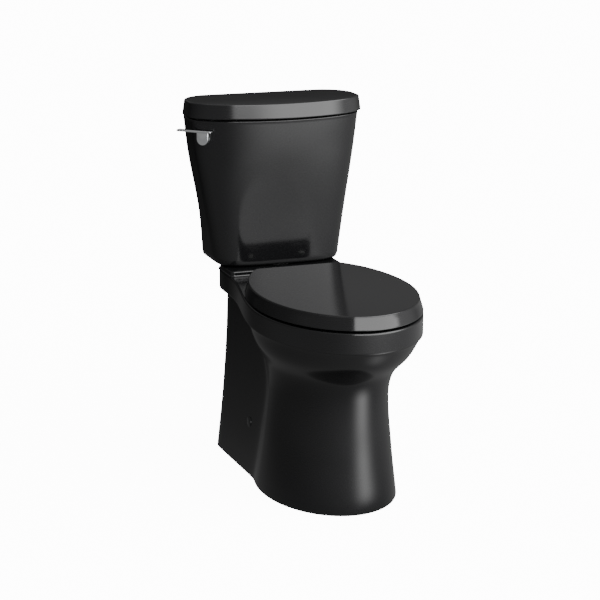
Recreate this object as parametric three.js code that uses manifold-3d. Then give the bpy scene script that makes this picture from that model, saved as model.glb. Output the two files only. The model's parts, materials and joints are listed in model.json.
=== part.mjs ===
// A close coupled toilet: floor standing bowl, tank, lids, seat, trip lever and the works inside the tank.
// Millimetres, +Z up, the front of the bowl toward -Y. Places below are given from the middle of the
// footprint; the finished group then moves so that the origin is the middle of the outlet, on the floor.
import * as THREE from 'three';
import { mergeVertices } from 'three/addons/utils/BufferGeometryUtils.js';
import Module from 'manifold-3d';

const wasm = await Module();
wasm.setup();

// ---------- driving dimensions ----------
const GAP = 0.3;                 // space kept between pieces that touch
const HEIGHT = 800;              // floor to the top of the tank lid
const REAR = 365;                // back of the tank
const FRONT = -365;              // front of the bowl rim
const WALL = 11;                 // thickness of the fired china
const RIM_TOP = 418;
const RIM_BOTTOM = 374;
const RIM_CENTRE = -113;         // where the rim is widest
const RIM_HALF = 174.5;
const DECK_HALF = 134;
const DECK_REAR = 325;
const DECK_CORNER = 75;
const BASE_REAR = 276;
const STEP = { front: 177, top: 429.5 };
const TANK_BOTTOM = 431;
const TANK_TOP = 762;
const TANK_FLOOR = TANK_BOTTOM + 14;
const LID = { bottom: 766, half: 203, depth: 195.5, side: 265, lean: 4.5, corner: 71, wall: 18, plate: 13 };
const FLUSH = { x: 0, y: 262, hole: 27, bore: 21, shank: 26, seat: 36 };
const FILL = { x: -100, y: 318, hole: 12.6, shank: 11.1, column: 13 };
const BOLT = { x: 66, y: 296, radius: 4, hole: 5.6 };
const OUTLET = { y: 80, bore: 27.5, wall: 9 };
const FOOT = { x: 76, hole: 6.5, top: 14, ledge: 11, pad: 19 };
const CAP = { y: 80, z: 110, seat: 122.5, radius: 13.5 };
const LEVER = { z: 722, angle: Math.PI / 4 };
const HINGE = { y: 113, z: 437, radius: 7, pin: 4, bolt: { x: 70, y: 131 } };
const SEAT = {
  half: 166, over: 8.5, straight: 105, backHalf: 106, bottom: 422.8, top: 451, plate: 5, wall: 4.5,
};
const RING = { bottom: 422, top: 440, clear: 7.5, holeHalf: 106, holeFront: -293, holeRear: 32 };

// ---------- materials ----------
const finish = (color, roughness, metalness = 0) => (
  new THREE.MeshStandardMaterial({ color, roughness, metalness }));
const glaze = finish(0x0b0b0c, 0.06);
const seatPlastic = finish(0x0d0d0e, 0.12);
const chrome = finish(0xd8dadd, 0.08, 1);
const brass = finish(0xb6924c, 0.3, 1);
const whitePlastic = finish(0xe4e4df, 0.45);
const bluePlastic = finish(0x2f5f9e, 0.45);
const rubber = finish(0x1c1c1c, 0.85);
const hose = finish(0x3a3a3c, 0.6);

const toilet = new THREE.Group();

/** Adds one named piece to the toilet, as it stands in the toilet's own frame. */
function piece(name, solid, material) {
  const mesh = new THREE.Mesh(solid.isBufferGeometry ? solid : toGeometry(solid), material);
  mesh.name = name;
  toilet.add(mesh);
}

// ---------- solids ----------
function toSolid(geometry) {
  let bare = geometry.index ? geometry.toNonIndexed() : geometry.clone();
  bare.deleteAttribute('normal');
  bare.deleteAttribute('uv');
  bare = mergeVertices(bare, 1e-4);
  const vertProperties = new Float32Array(bare.attributes.position.array);
  const triVerts = new Uint32Array(bare.index.array);
  return new wasm.Manifold(new wasm.Mesh({ numProp: 3, vertProperties, triVerts }));
}

function toGeometry(solid) {
  const mesh = solid.getMesh();
  const geometry = new THREE.BufferGeometry();
  geometry.setAttribute('position', new THREE.BufferAttribute(mesh.vertProperties, 3));
  geometry.setIndex(new THREE.BufferAttribute(mesh.triVerts, 1));
  geometry.computeVertexNormals();
  return geometry;
}

const join = (...solids) => solids.reduce((whole, next) => whole.add(next));
const cut = (whole, ...tools) => tools.reduce((left, tool) => left.subtract(tool), whole);

function box(x0, x1, y0, y1, z0, z1) {
  const shape = new THREE.BoxGeometry(x1 - x0, y1 - y0, z1 - z0);
  return toSolid(shape.translate((x0 + x1) / 2, (y0 + y1) / 2, (z0 + z1) / 2));
}

/** An upright cylinder, or a cone when a second radius is given. */
function rod(x, y, z0, z1, radius, sides = 24, topRadius = radius) {
  const shape = new THREE.CylinderGeometry(topRadius, radius, z1 - z0, sides);
  return toSolid(shape.rotateX(Math.PI / 2).translate(x, y, (z0 + z1) / 2));
}

/** A cylinder along X. */
function crossRod(x0, x1, y, z, radius, sides = 20) {
  const shape = new THREE.CylinderGeometry(radius, radius, x1 - x0, sides);
  return toSolid(shape.rotateZ(Math.PI / 2).translate((x0 + x1) / 2, y, z));
}

/** A tube or washer: an upright ring. */
function ring(x, y, z0, z1, inner, outer, sides = 24) {
  return cut(rod(x, y, z0, z1, outer, sides), rod(x, y, z0 - 1, z1 + 1, inner, sides));
}

/** A nut: a round hole through a block with flat sides. */
function nut(x, y, z0, z1, hole, across, sides = 6) {
  return cut(rod(x, y, z0, z1, across, sides), rod(x, y, z0 - 1, z1 + 1, hole, 18));
}

/** A closed skin through level outlines that all have the same number of points. */
function loft(sections) {
  const count = sections[0].points.length;
  const positions = [];
  const faces = [];
  for (const { z, points } of sections) points.forEach(([x, y]) => positions.push(x, y, z));
  for (let level = 0; level + 1 < sections.length; level++) {
    for (let i = 0; i < count; i++) {
      const a = level * count + i;
      const b = level * count + ((i + 1) % count);
      faces.push(a, b, b + count, a, b + count, a + count);
    }
  }
  const flat = (points) => points.map(([x, y]) => new THREE.Vector2(x, y));
  const last = (sections.length - 1) * count;
  const cap = (points) => THREE.ShapeUtils.triangulateShape(flat(points), []);
  for (const [a, b, c] of cap(sections[0].points)) faces.push(c, b, a);
  for (const [a, b, c] of cap(sections.at(-1).points)) faces.push(last + a, last + b, last + c);
  const geometry = new THREE.BufferGeometry();
  geometry.setAttribute('position', new THREE.Float32BufferAttribute(positions, 3));
  geometry.setIndex(faces);
  return toSolid(geometry);
}

/** Values part way up a list of stations, smoothly, by height. */
function at(stations, z) {
  const last = stations.length - 1;
  const top = Math.max(1, stations.findIndex((s) => s.z >= z));
  const i = z > stations[last].z ? last : top;
  const [low, high] = [stations[i - 1], stations[i]];
  const before = stations[Math.max(0, i - 2)];
  const after = stations[Math.min(last, i + 1)];
  const t = (z - low.z) / (high.z - low.z);
  const span = high.z - low.z;
  const value = {};
  for (const key of Object.keys(low)) {
    const slopeIn = (high[key] - before[key]) / (high.z - before.z) * span;
    const slopeOut = (after[key] - low[key]) / (after.z - low.z) * span;
    value[key] = (2 * t ** 3 - 3 * t ** 2 + 1) * low[key] + (t ** 3 - 2 * t ** 2 + t) * slopeIn
      + (-2 * t ** 3 + 3 * t ** 2) * high[key] + (t ** 3 - t ** 2) * slopeOut;
  }
  return value;
}

const power = (value, n) => Math.sign(value) * Math.abs(value) ** (2 / n);
const steps = (from, to, count) => (
  Array.from({ length: count + 1 }, (_, i) => from + (to - from) * i / count));

/** An oval that may be longer in front of its widest line than behind it. */
function oval({ half, centre, front, rear, n = 2 }, count = 40) {
  return steps(0, 2 * Math.PI, count).slice(0, -1).map((u) => [
    half * power(Math.cos(u), n),
    centre + power(Math.sin(u), n) * (Math.sin(u) < 0 ? centre - front : rear - centre),
  ]);
}

const shrink = (egg, by) => ({
  ...egg, half: egg.half - by, front: egg.front + by, rear: egg.rear - by,
});

// ---------- bowl ----------
// The foot of the pedestal is an oval that draws in to a waist and opens out under the rim.
const PEDESTAL = [
  { z: 0, half: 146, centre: -62, front: -267, rear: 143 },
  { z: 110, half: 132, centre: -71, front: -256, rear: 114 },
  { z: 230, half: 121, centre: -81, front: -254, rear: 92 },
  { z: 285, half: 130, centre: -87, front: -274, rear: 100 },
  { z: 330, half: 155, centre: -103, front: -327, rear: 121 },
  { z: RIM_BOTTOM, half: RIM_HALF, centre: RIM_CENTRE, front: FRONT, rear: 139 },
];
// The flat sided base behind it narrows toward the deck.
const BASE = [
  { z: 0, half: 144.5 },
  { z: 130, half: 130 },
  { z: 260, half: 120 },
  { z: RIM_BOTTOM, half: 115.5 },
];
const BASE_TAPER = 0.035;
// The basin, from its sump up to the opening inside the rim.
const BASIN = [
  { z: 158, half: 24, centre: -86, front: -118, rear: -54 },
  { z: 172, half: 40, centre: -90, front: -142, rear: -44 },
  { z: 215, half: 62, centre: -96, front: -184, rear: -18 },
  { z: 290, half: 92, centre: -104, front: -250, rear: 20 },
  { z: 370, half: 113, centre: RIM_CENTRE, front: -297, rear: 44 },
  { z: RIM_TOP + 1, half: 113, centre: RIM_CENTRE, front: -301, rear: 47 },
];

function levels(stations, heights, shape) {
  return loft(heights.map((z) => ({ z, points: shape(at(stations, z)) })));
}

/** The rim in front and the deck behind it share one outline. */
function deckOutline(inset = 0) {
  const half = RIM_HALF - inset;
  const deck = DECK_HALF - inset;
  const corner = DECK_CORNER - inset;
  const merge = 200;
  const right = steps(0, 1, 8).map((t) => [
    deck + (half - deck) * (0.5 + 0.5 * Math.cos(Math.PI * t)),
    RIM_CENTRE + (merge - RIM_CENTRE) * t,
  ]);
  const rounded = steps(0, Math.PI / 2, 7).map((u) => [
    deck - corner + corner * Math.cos(u),
    DECK_REAR - inset - corner + corner * Math.sin(u),
  ]);
  const side = [...right, ...rounded];
  const front = steps(Math.PI, 2 * Math.PI, 28).slice(1, -1).map((u) => [
    half * Math.cos(u),
    RIM_CENTRE + (RIM_CENTRE - FRONT - inset) * Math.sin(u),
  ]);
  return [...front, ...side, ...side.map(([x, y]) => [-x, y]).reverse()];
}

function baseOutline({ half }, inset = 0) {
  const front = -40;
  const rear = BASE_REAR - inset;
  const near = half - inset - BASE_TAPER * (BASE_REAR - front);
  const far = half - inset;
  return [[-near, front], [near, front], [far, rear], [-far, rear]];
}

function trapway(radius, start, end, sides) {
  const path = new THREE.CatmullRomCurve3([
    ...start, [0, -20, 186], [0, 38, 236], [0, 84, 268], [0, 128, 246], [0, 132, 180], [0, 98, 96],
    [0, OUTLET.y, 40], ...end,
  ].map((p) => new THREE.Vector3(...p)));
  const section = new THREE.Shape();
  section.absarc(0, 0, radius, 0, 2 * Math.PI);
  return toSolid(new THREE.ExtrudeGeometry(section, { steps: 16, curveSegments: sides, extrudePath: path }));
}

/** The bowl is cast in four parts, stuck together before firing: rim and deck, skirt, basin and trapway. */
function makeBowl() {
  const deck = join(
    loft([{ z: RIM_BOTTOM, points: deckOutline() }, { z: RIM_TOP, points: deckOutline() }]),
    loft([RIM_TOP - 1, STEP.top].map((z) => ({ z, points: stepOutline() }))),
  );
  const basin = levels(BASIN, [158, 172, 215, 250, 290, 330, 370, RIM_TOP + 1], (s) => oval(s, 32));
  const bore = trapway(OUTLET.bore - 3, [[0, -84, 178]], [[0, OUTLET.y, -30]], 5);
  piece('bowl_rim', cut(deck, basin, ...inletCuts(), ...fixingCuts()), glaze);
  piece('bowl_skirt', makeSkirt(), glaze);
  piece('bowl_basin', cut(basinSkin(WALL).intersect(cavity(WALL + GAP)), basin, bore), glaze);
  const tube = trapway(OUTLET.bore + OUTLET.wall, [[0, -70, 178]], [[0, OUTLET.y, -2]], 6)
    .intersect(box(-60, 60, -150, 200, 0, RIM_BOTTOM));
  piece('trapway', cut(tube, basinSkin(WALL + GAP), bore, rod(0, OUTLET.y, -1, 30, OUTLET.bore, 28)), glaze);
}

/** The outside of the basin, as far as the underside of the rim. */
function basinSkin(thickness) {
  const heights = [158, 172, 215, 290, 370, RIM_BOTTOM - GAP + thickness];
  return levels(BASIN, heights, (s) => oval(shrink(s, -thickness), 24)).translate(0, 0, -thickness);
}

/** The hollow inside the skirt. */
function cavity(thickness) {
  return join(
    levels(PEDESTAL, [-1, 110, 230, 285, 325, RIM_BOTTOM + 1], (s) => oval(shrink(s, thickness), 24)),
    levels(BASE, [-1, 130, 260, RIM_BOTTOM + 1], (s) => baseOutline(s, thickness)),
  );
}

/** The pedestal and the base behind it: one wall, open above and below, with a ledge for the floor bolts. */
function makeSkirt() {
  const top = RIM_BOTTOM - GAP;
  const outside = join(
    levels(PEDESTAL, [0, 90, 180, 240, 280, 305, 330, 352, top], (s) => oval(s)),
    levels(BASE, [0, 90, 180, 270, top], (s) => baseOutline(s)),
  );
  const feet = [-1, 1].map((side) => join(
    box(...[side * 38, side * 132].sort((a, b) => a - b), OUTLET.y - 24, OUTLET.y + 24, 0, FOOT.ledge),
    rod(side * FOOT.x, OUTLET.y, FOOT.ledge - 1, FOOT.top, FOOT.pad),
  ));
  const holes = [];
  for (const side of [-1, 1]) {
    holes.push(rod(side * FOOT.x, OUTLET.y, -1, FOOT.top + 1, FOOT.hole, 16));
    const [near, far] = [CAP.seat, 160].map((x) => side * x).sort((a, b) => a - b);
    holes.push(crossRod(near, far, CAP.y, CAP.z, CAP.radius + 1, 24));
    const [inner, outer] = [100, 160].map((x) => side * x).sort((a, b) => a - b);
    holes.push(crossRod(inner, outer, CAP.y, CAP.z, 11.8, 20));
  }
  return cut(join(cut(outside, cavity(WALL)), ...feet), ...holes);
}

/** The raised step that the tank stands over. */
function stepOutline() {
  const half = DECK_HALF - 2;
  const small = 10;
  const corner = DECK_CORNER - 2;
  const nose = steps(-Math.PI / 2, 0, 3).map((u) => [
    half - small + small * Math.cos(u), STEP.front + small + small * Math.sin(u),
  ]);
  const back = steps(0, Math.PI / 2, 7).map((u) => [
    half - corner + corner * Math.cos(u), DECK_REAR - 2 - corner + corner * Math.sin(u),
  ]);
  const side = [...nose, ...back];
  return [...side, ...side.map(([x, y]) => [-x, y]).reverse()];
}

/** The seat for the tank gasket, the water inlet and the channel to the basin. */
function inletCuts() {
  return [
    rod(FLUSH.x, FLUSH.y, STEP.top - 14, STEP.top + 1, 51.5, 36),
    rod(FLUSH.x, FLUSH.y, 386, STEP.top, 30, 28),
    box(-28, 28, 30, FLUSH.y, 386, 408),
  ];
}

/** Holes for the bolts of the tank and seat, and the notch that clears the water supply. */
function fixingCuts() {
  const cuts = [rod(FILL.x, FILL.y, RIM_BOTTOM - 5, STEP.top + 5, 24, 24)];
  for (const side of [-1, 1]) {
    cuts.push(rod(side * BOLT.x, BOLT.y, RIM_BOTTOM - 5, STEP.top + 5, BOLT.hole, 16));
    cuts.push(rod(side * HINGE.bolt.x, HINGE.bolt.y, RIM_BOTTOM - 15, RIM_TOP + 1, 6.5, 16));
  }
  return cuts;
}

function makeSideCaps() {
  for (const side of [-1, 1]) {
    const span = (from, to) => [side * from, side * to].sort((a, b) => a - b);
    const head = crossRod(...span(CAP.seat + GAP, CAP.seat + 4.8), CAP.y, CAP.z, CAP.radius, 24);
    const plug = crossRod(...span(CAP.seat - 9, CAP.seat + 1), CAP.y, CAP.z, 11, 20);
    piece(side < 0 ? 'side_cap_left' : 'side_cap_right', join(head, plug), glaze);
  }
}

// ---------- tank ----------
// The tank is nearly square at its foot and bowed like its lid at the top.
const TANK = [
  { z: TANK_BOTTOM, half: 144.5, front: 202, side: 286, n: 3.8, corner: 12 },
  { z: 545, half: 162.5, front: 194, side: 279, n: 3.0, corner: 50 },
  { z: 680, half: 185.5, front: 182, side: 269, n: 2.2, corner: 46 },
  { z: TANK_TOP, half: 196, front: 176.5, side: 265, n: 2.0, corner: 52 },
];

/** A flat back with round corners, straight sides and a bowed front. */
function bowed({ half, front, side, n, corner }, inset = 0, frontSteps = 30) {
  const h = half - inset;
  const r = Math.max(corner - inset, 2);
  const rear = REAR - inset;
  const bow = steps(Math.PI, 2 * Math.PI, frontSteps).map((u) => [
    h * power(Math.cos(u), n), side + (side - front - inset) * power(Math.sin(u), n),
  ]);
  const back = steps(0, Math.PI / 2, 5).map((u) => [h - r + r * Math.cos(u), rear - r + r * Math.sin(u)]);
  return [...bow, ...back, ...back.map(([x, y]) => [-x, y]).reverse()];
}

/** Where the lever's spindle leaves the wall: the point of the bowed front that faces half sideways. */
function leverPoint() {
  const { half, front, side } = at(TANK, LEVER.z);
  const u = Math.atan((side - front) / half);
  return new THREE.Vector3(-half * Math.cos(u), side - (side - front) * Math.sin(u), LEVER.z);
}

const leverAt = leverPoint();
const outward = new THREE.Vector3(-Math.cos(LEVER.angle), -Math.sin(LEVER.angle), 0);

/** A disc or rod whose axis is the lever's spindle, from one distance off the wall to another. */
function onSpindle(from, to, radius, sides = 20) {
  const shape = new THREE.CylinderGeometry(radius, radius, to - from, sides);
  shape.rotateX(Math.PI / 2).rotateX(-Math.PI / 2).translate(0, (from + to) / 2, 0);
  const turn = new THREE.Quaternion().setFromUnitVectors(new THREE.Vector3(0, 1, 0), outward);
  return toSolid(shape.applyQuaternion(turn).translate(leverAt.x, leverAt.y, leverAt.z));
}

function makeTank() {
  const heights = [TANK_BOTTOM, 470, 510, 545, 590, 640, 700, TANK_TOP];
  const outer = levels(TANK, heights, (s) => bowed(s));
  const innerHeights = [TANK_FLOOR, 545, 640, TANK_TOP - 2, TANK_TOP + 1];
  const inner = levels(TANK, innerHeights, (s) => bowed(s, WALL, 24));
  const holes = [
    rod(FLUSH.x, FLUSH.y, TANK_BOTTOM - 1, TANK_FLOOR + 1, FLUSH.hole, 28),
    rod(FILL.x, FILL.y, TANK_BOTTOM - 1, TANK_FLOOR + 1, FILL.hole, 20),
    onSpindle(-30, 10, 8.7), onSpindle(-1.2, 10, 14.8, 24), onSpindle(-40, -9.8, 17.5, 24),
  ];
  for (const side of [-1, 1]) {
    holes.push(rod(side * BOLT.x, BOLT.y, TANK_BOTTOM - 1, TANK_FLOOR + 1, BOLT.hole, 16));
  }
  piece('tank', cut(outer, inner, ...holes), glaze);
}

function makeTankLid() {
  const outline = (grow, inset = 0, count = 30) => bowed(
    { half: LID.half - LID.lean + grow, front: REAR - LID.depth + LID.lean / 2 - grow, side: LID.side, n: 2,
      corner: LID.corner }, inset, count);
  const outer = loft([
    { z: LID.bottom, points: outline(LID.lean) },
    { z: HEIGHT - 3, points: outline(0) },
    { z: HEIGHT, points: outline(-2.5) },
  ]);
  const recess = loft(
    [LID.bottom - 1, HEIGHT - LID.plate].map((z) => ({ z, points: outline(0, LID.wall, 24) })));
  piece('tank_lid', cut(outer, recess), glaze);
}

// ---------- trip lever ----------
/** Places a shape drawn in (along the blade, up) and as thick as the spindle runs. */
function besideTank(shape, from, to) {
  const depth = to - from;
  const solid = new THREE.ExtrudeGeometry(shape, { depth, bevelEnabled: false, curveSegments: 8 });
  const along = new THREE.Vector3(-Math.sin(LEVER.angle), Math.cos(LEVER.angle), 0);
  const up = new THREE.Vector3(0, 0, 1);
  const out = new THREE.Vector3().crossVectors(along, up);
  const frame = new THREE.Matrix4().makeBasis(along, up, out);
  const start = leverAt.clone().addScaledVector(outward, out.dot(outward) > 0 ? from : to);
  frame.setPosition(start);
  const placed = solid.applyMatrix4(frame);
  return toSolid(placed);
}

function makeLever() {
  const hub = new THREE.Shape();
  hub.absarc(0, 0, 14, Math.PI, 2 * Math.PI);
  hub.lineTo(14, 15);
  hub.lineTo(-14, 15);
  const blade = new THREE.Shape();
  blade.moveTo(-22, 14);
  blade.lineTo(60, 14);
  blade.lineTo(62, 16.5);
  blade.lineTo(60, 19);
  blade.lineTo(-22, 19);
  blade.lineTo(-24, 16.5);
  piece('trip_lever', join(besideTank(hub, 3.6, 12), besideTank(blade, 4.4, 17)), chrome);
  const bushing = join(onSpindle(-0.9, 3.2, 14, 24), onSpindle(-26, 0, 8));
  piece('lever_bushing', cut(bushing, onSpindle(-30, 5, 4.7, 16)), chrome);
  piece('lever_nut', cut(onSpindle(-19, -10.2, 14, 6), onSpindle(-30, 5, 8.7)), whitePlastic);
  piece('lever_spindle', onSpindle(-34, 3.3, 4, 16), brass);
  piece('lever_arm', makeLeverArm(), brass);
}

/** The arm inside the tank: an eye on the spindle's end and a flat strap to above the flush valve. */
function makeLeverArm() {
  const eye = onSpindle(-38, -34 - GAP, 8, 16);
  const root = leverAt.clone().addScaledVector(outward, -36);
  const tip = new THREE.Vector3(FLUSH.x - 12, FLUSH.y - 2, LEVER.z);
  const length = root.distanceTo(tip);
  const strap = new THREE.BoxGeometry(length, 3, 9).translate(length / 2, 0, 0);
  strap.rotateZ(Math.atan2(tip.y - root.y, tip.x - root.x)).translate(root.x, root.y, root.z);
  return join(eye, toSolid(strap));
}

// ---------- flush valve ----------
function makeFlushValve() {
  const { x, y } = FLUSH;
  const flange = ring(x, y, TANK_FLOOR + GAP, 452, FLUSH.bore, FLUSH.seat + 4, 28);
  const shank = ring(x, y, 398, 451, FLUSH.bore, FLUSH.shank, 28);
  const arms = join(box(x - FLUSH.bore - 2, x + FLUSH.bore + 2, y - 1.5, y + 1.5, 404, 440),
    box(x - 1.5, x + 1.5, y - FLUSH.bore - 2, y + FLUSH.bore + 2, 404, 440));
  const post = rod(x, y, 404, 690, 4.5, 14);
  piece('flush_valve_body', join(flange, shank, arms, post), whitePlastic);
  piece('flush_valve_nut', nut(x, y, 417, TANK_BOTTOM - GAP, FLUSH.shank + 0.9, 35, 8), whitePlastic);
  piece('tank_gasket', ring(x, y, STEP.top - 14 + GAP, TANK_BOTTOM - GAP, 37.5, 50, 28), rubber);
  piece('guide_cap', join(rod(x, y, 690 + GAP, 702, 9, 16), box(x - 4, x + 4, y, y + 22, 690 + GAP, 694),
    rod(x, y + 24, 690 + GAP, 699, 5.5, 12)), bluePlastic);
  const sleeve = ring(x, y, 458, 640, 27, 30, 24);
  const skirt = cut(rod(x, y, 455.6, 462, 36, 24, 30), rod(x, y, 454, 463, 27, 24));
  const spider = (z) => cut(
    join(box(x - 28, x + 28, y - 1.5, y + 1.5, z, z + 8), box(x - 1.5, x + 1.5, y - 28, y + 28, z, z + 8),
      rod(x, y, z, z + 8, 8, 16)),
    rod(x, y, z - 1, z + 9, 5.4, 16));
  piece('flush_canister', join(sleeve, skirt, spider(470), spider(610)), bluePlastic);
  piece('canister_seal', ring(x, y, 452 + GAP, 455.3, 29, 37, 24), rubber);
  makeLiftChain();
}

/** A loop round the lever arm, beads, and a foot that stands on the canister's rim. */
function makeLiftChain() {
  const at = FLUSH.x - 28.5;
  const root = leverAt.clone().addScaledVector(outward, -36);
  const slope = (FLUSH.y - 2 - root.y) / (FLUSH.x - 12 - root.x);
  const armY = FLUSH.y - 2 - slope * (FLUSH.x - 12 - at);
  const loop = cut(box(at - 1, at + 1, armY - 6, armY + 13, LEVER.z - 9, LEVER.z + 8.5),
    box(at - 2, at + 2, armY - 4, armY + 10.5, LEVER.z - 6.5, LEVER.z + 6));
  const stem = rod(at, armY, 640 + GAP, LEVER.z - 8, 1.1, 8);
  const beads = steps(652, 702, 5).map((z) => {
    const bead = new THREE.SphereGeometry(2.4, 6, 4).rotateX(Math.PI / 2).translate(at, armY, z);
    return toSolid(bead);
  });
  const foot = box(at - 1.4, at + 1.4, armY - 1, FLUSH.y + 4, 640 + GAP, 643);
  piece('lift_chain', join(loop, stem, foot, ...beads), chrome);
}

// ---------- fill valve ----------
const FLOAT = { bottom: 590, top: 650, radius: 27, travel: 14, rod: 24.5 };
const ARM = { z: 712, pivot: 10.5, tilt: 0.2 };

function makeFillValve() {
  const { x, y } = FILL;
  const column = join(
    rod(x, y, 388, TANK_FLOOR + 4, FILL.shank, 20), rod(x, y, TANK_FLOOR + 2.5, 452, 17, 20),
    rod(x, y, TANK_FLOOR + 3, 669, FILL.column, 20), rod(x, y, 668, 694, 21, 24));
  const nipple = rod(x + 12, y - 22, 678, 686, 3.2, 10);
  const spout = box(x + 8, x + 14, y - 20, y - 8, 680, 685);
  piece('fill_valve_body', cut(join(column, nipple, spout), rod(x, y, 380, 640, 5, 12)), whitePlastic);
  piece('fill_valve_washer', ring(x, y, TANK_FLOOR + GAP, TANK_FLOOR + 2.2, 12.4, 18, 20), rubber);
  piece('fill_valve_nut', nut(x, y, 420, TANK_BOTTOM - GAP, FILL.shank + 0.6, 20, 8), whitePlastic);
  const ears = [-1, 1].map((side) => join(
    box(x - ARM.pivot - 4, x - ARM.pivot + 4, y + side * 8 - 1.5, y + side * 8 + 1.5, 700, ARM.z + 4)));
  const pin = new THREE.CylinderGeometry(1.6, 1.6, 18, 10).translate(x - ARM.pivot, y, ARM.z);
  piece('fill_valve_cap', join(rod(x, y, 694 + GAP, 701, 21, 24), ...ears, toSolid(pin)), bluePlastic);
  makeFillValveArm();
  const cup = cut(rod(x, y, FLOAT.bottom, FLOAT.top, FLOAT.radius, 28),
    rod(x, y, FLOAT.bottom - 1, FLOAT.top + 1, FILL.column + 0.8, 20));
  piece('float_cup', cup, bluePlastic);
  const rodX = x + FLOAT.rod;
  const reach = ARM.pivot + FLOAT.rod;
  const eye = ARM.z - reach * Math.tan(ARM.tilt);
  piece('float_rod', join(
    rod(rodX, y, FLOAT.top + GAP, eye + 7, 1.4, 8), rod(rodX, y, eye - 4.4, eye - 2.9, 3, 12),
    rod(rodX, y, eye + 2.9, eye + 4.4, 3, 12)), brass);
}

/** The valve arm hangs from its pin and tips down to the float rod when the float is low. */
function makeFillValveArm() {
  const reach = ARM.pivot + FLOAT.rod;
  const bar = join(box(0, reach + 7, -5, 5, -1.5, 1.5), ...[-1, 1].map((side) => box(
    -4, 5, side * 4 - 1.5, side * 4 + 1.5, -4, 1.4)));
  const slot = box(reach - 4, reach + 4, -2.4, 2.4, -3, 3);
  const eye = toSolid(new THREE.CylinderGeometry(2.2, 2.2, 20, 12));
  const turned = cut(bar, slot, eye).rotate([0, THREE.MathUtils.radToDeg(ARM.tilt), 0]);
  piece('fill_valve_arm', turned.translate(FILL.x - ARM.pivot, FILL.y, ARM.z), whitePlastic);
}

function makeRefillTube() {
  const path = new THREE.CatmullRomCurve3([
    [FILL.x + 12, FILL.y - 22, 686 + GAP], [FILL.x + 13, FILL.y - 22, 700], [FILL.x + 32, FILL.y - 21, 722],
    [FILL.x + 66, FILL.y - 24, 734], [FLUSH.x - 6, FLUSH.y + 27, 724], [FLUSH.x, FLUSH.y + 24, 710],
    [FLUSH.x, FLUSH.y + 24, 699 + GAP],
  ].map((p) => new THREE.Vector3(...p)));
  const section = new THREE.Shape().absarc(0, 0, 3.4, 0, 2 * Math.PI);
  section.holes.push(new THREE.Path().absarc(0, 0, 2, 0, 2 * Math.PI, true));
  const tube = new THREE.ExtrudeGeometry(section, { steps: 16, curveSegments: 3, extrudePath: path });
  piece('refill_tube', tube, hose);
}

// ---------- tank bolts ----------
function makeTankBolts() {
  for (const side of [-1, 1]) {
    const end = side < 0 ? 'left' : 'right';
    const x = side * BOLT.x;
    const y = BOLT.y;
    const shank = rod(x, y, 352, 450, BOLT.radius, 12);
    piece(`tank_bolt_${end}`, join(shank, rod(x, y, 449.5, 454, 8.5, 16)), brass);
    piece(`tank_bolt_washer_${end}`, ring(x, y, TANK_FLOOR + GAP, 449.2, BOLT.radius + 0.5, 12, 18), rubber);
    piece(`tank_bolt_nut_${end}`, nut(x, y, 361, RIM_BOTTOM - 2 * GAP, BOLT.radius + 0.4, 9), brass);
  }
}

// ---------- seat ----------
/** The seat's outline: round in front, drawn in behind, straight across the back. It may run on past it. */
function seatOutline(grow, back = SEAT.straight, beyond = 0) {
  const half = SEAT.half + grow;
  const reach = RIM_CENTRE - FRONT - SEAT.over + grow;
  const narrow = SEAT.backHalf + grow - SEAT.over;
  const front = steps(Math.PI, 2 * Math.PI, 34)
    .map((u) => [half * Math.cos(u), RIM_CENTRE + reach * Math.sin(u)]);
  const depth = SEAT.straight - RIM_CENTRE;
  const right = steps(RIM_CENTRE, back, 8).slice(1).map((y) => [
    half * Math.sqrt(1 - ((y - RIM_CENTRE) / depth) ** 2 * (1 - (narrow / half) ** 2)), y,
  ]);
  if (beyond) right.push([right.at(-1)[0], back + beyond]);
  return [...front, ...right, ...right.map(([x, y]) => [-x, y]).reverse()];
}

/** A round lug on the hinge axis with a web that runs forward to a plate. */
function hingeLug(x0, x1, web) {
  return join(crossRod(x0, x1, HINGE.y, HINGE.z, HINGE.radius, 20), box(x0, x1, ...web));
}

const lugBores = () => crossRod(-130, 130, HINGE.y, HINGE.z, HINGE.pin + 0.5, 20);

function makeSeatLid() {
  const outer = loft([
    { z: SEAT.bottom, points: seatOutline(SEAT.over) },
    { z: SEAT.top - 6, points: seatOutline(1.5) },
    { z: SEAT.top - 2, points: seatOutline(0) },
    { z: SEAT.top, points: seatOutline(-3) },
  ]);
  const under = loft([
    { z: SEAT.bottom - 1, points: seatOutline(SEAT.over - SEAT.wall, SEAT.straight, 20) },
    { z: SEAT.top - SEAT.plate - 4, points: seatOutline(2 - SEAT.wall, SEAT.straight, 20) },
    { z: SEAT.top - SEAT.plate, points: seatOutline(-SEAT.wall - 2, SEAT.straight, 20) },
  ]);
  const lugs = [-1, 1].map((side) => hingeLug(
    ...[side * 82.6, side * 94].sort((a, b) => a - b), [99, HINGE.y + 1, 440.6, SEAT.top - SEAT.plate + 1]));
  piece('seat_lid', cut(join(cut(outer, under), ...lugs), lugBores()), seatPlastic);
  for (const side of [-1, 1]) {
    const x = side * 78;
    piece(`lid_bumper_${side < 0 ? 'left' : 'right'}`,
      rod(x, -300, RING.top + GAP, SEAT.top - SEAT.plate - GAP, 6, 14), rubber);
  }
}

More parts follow.
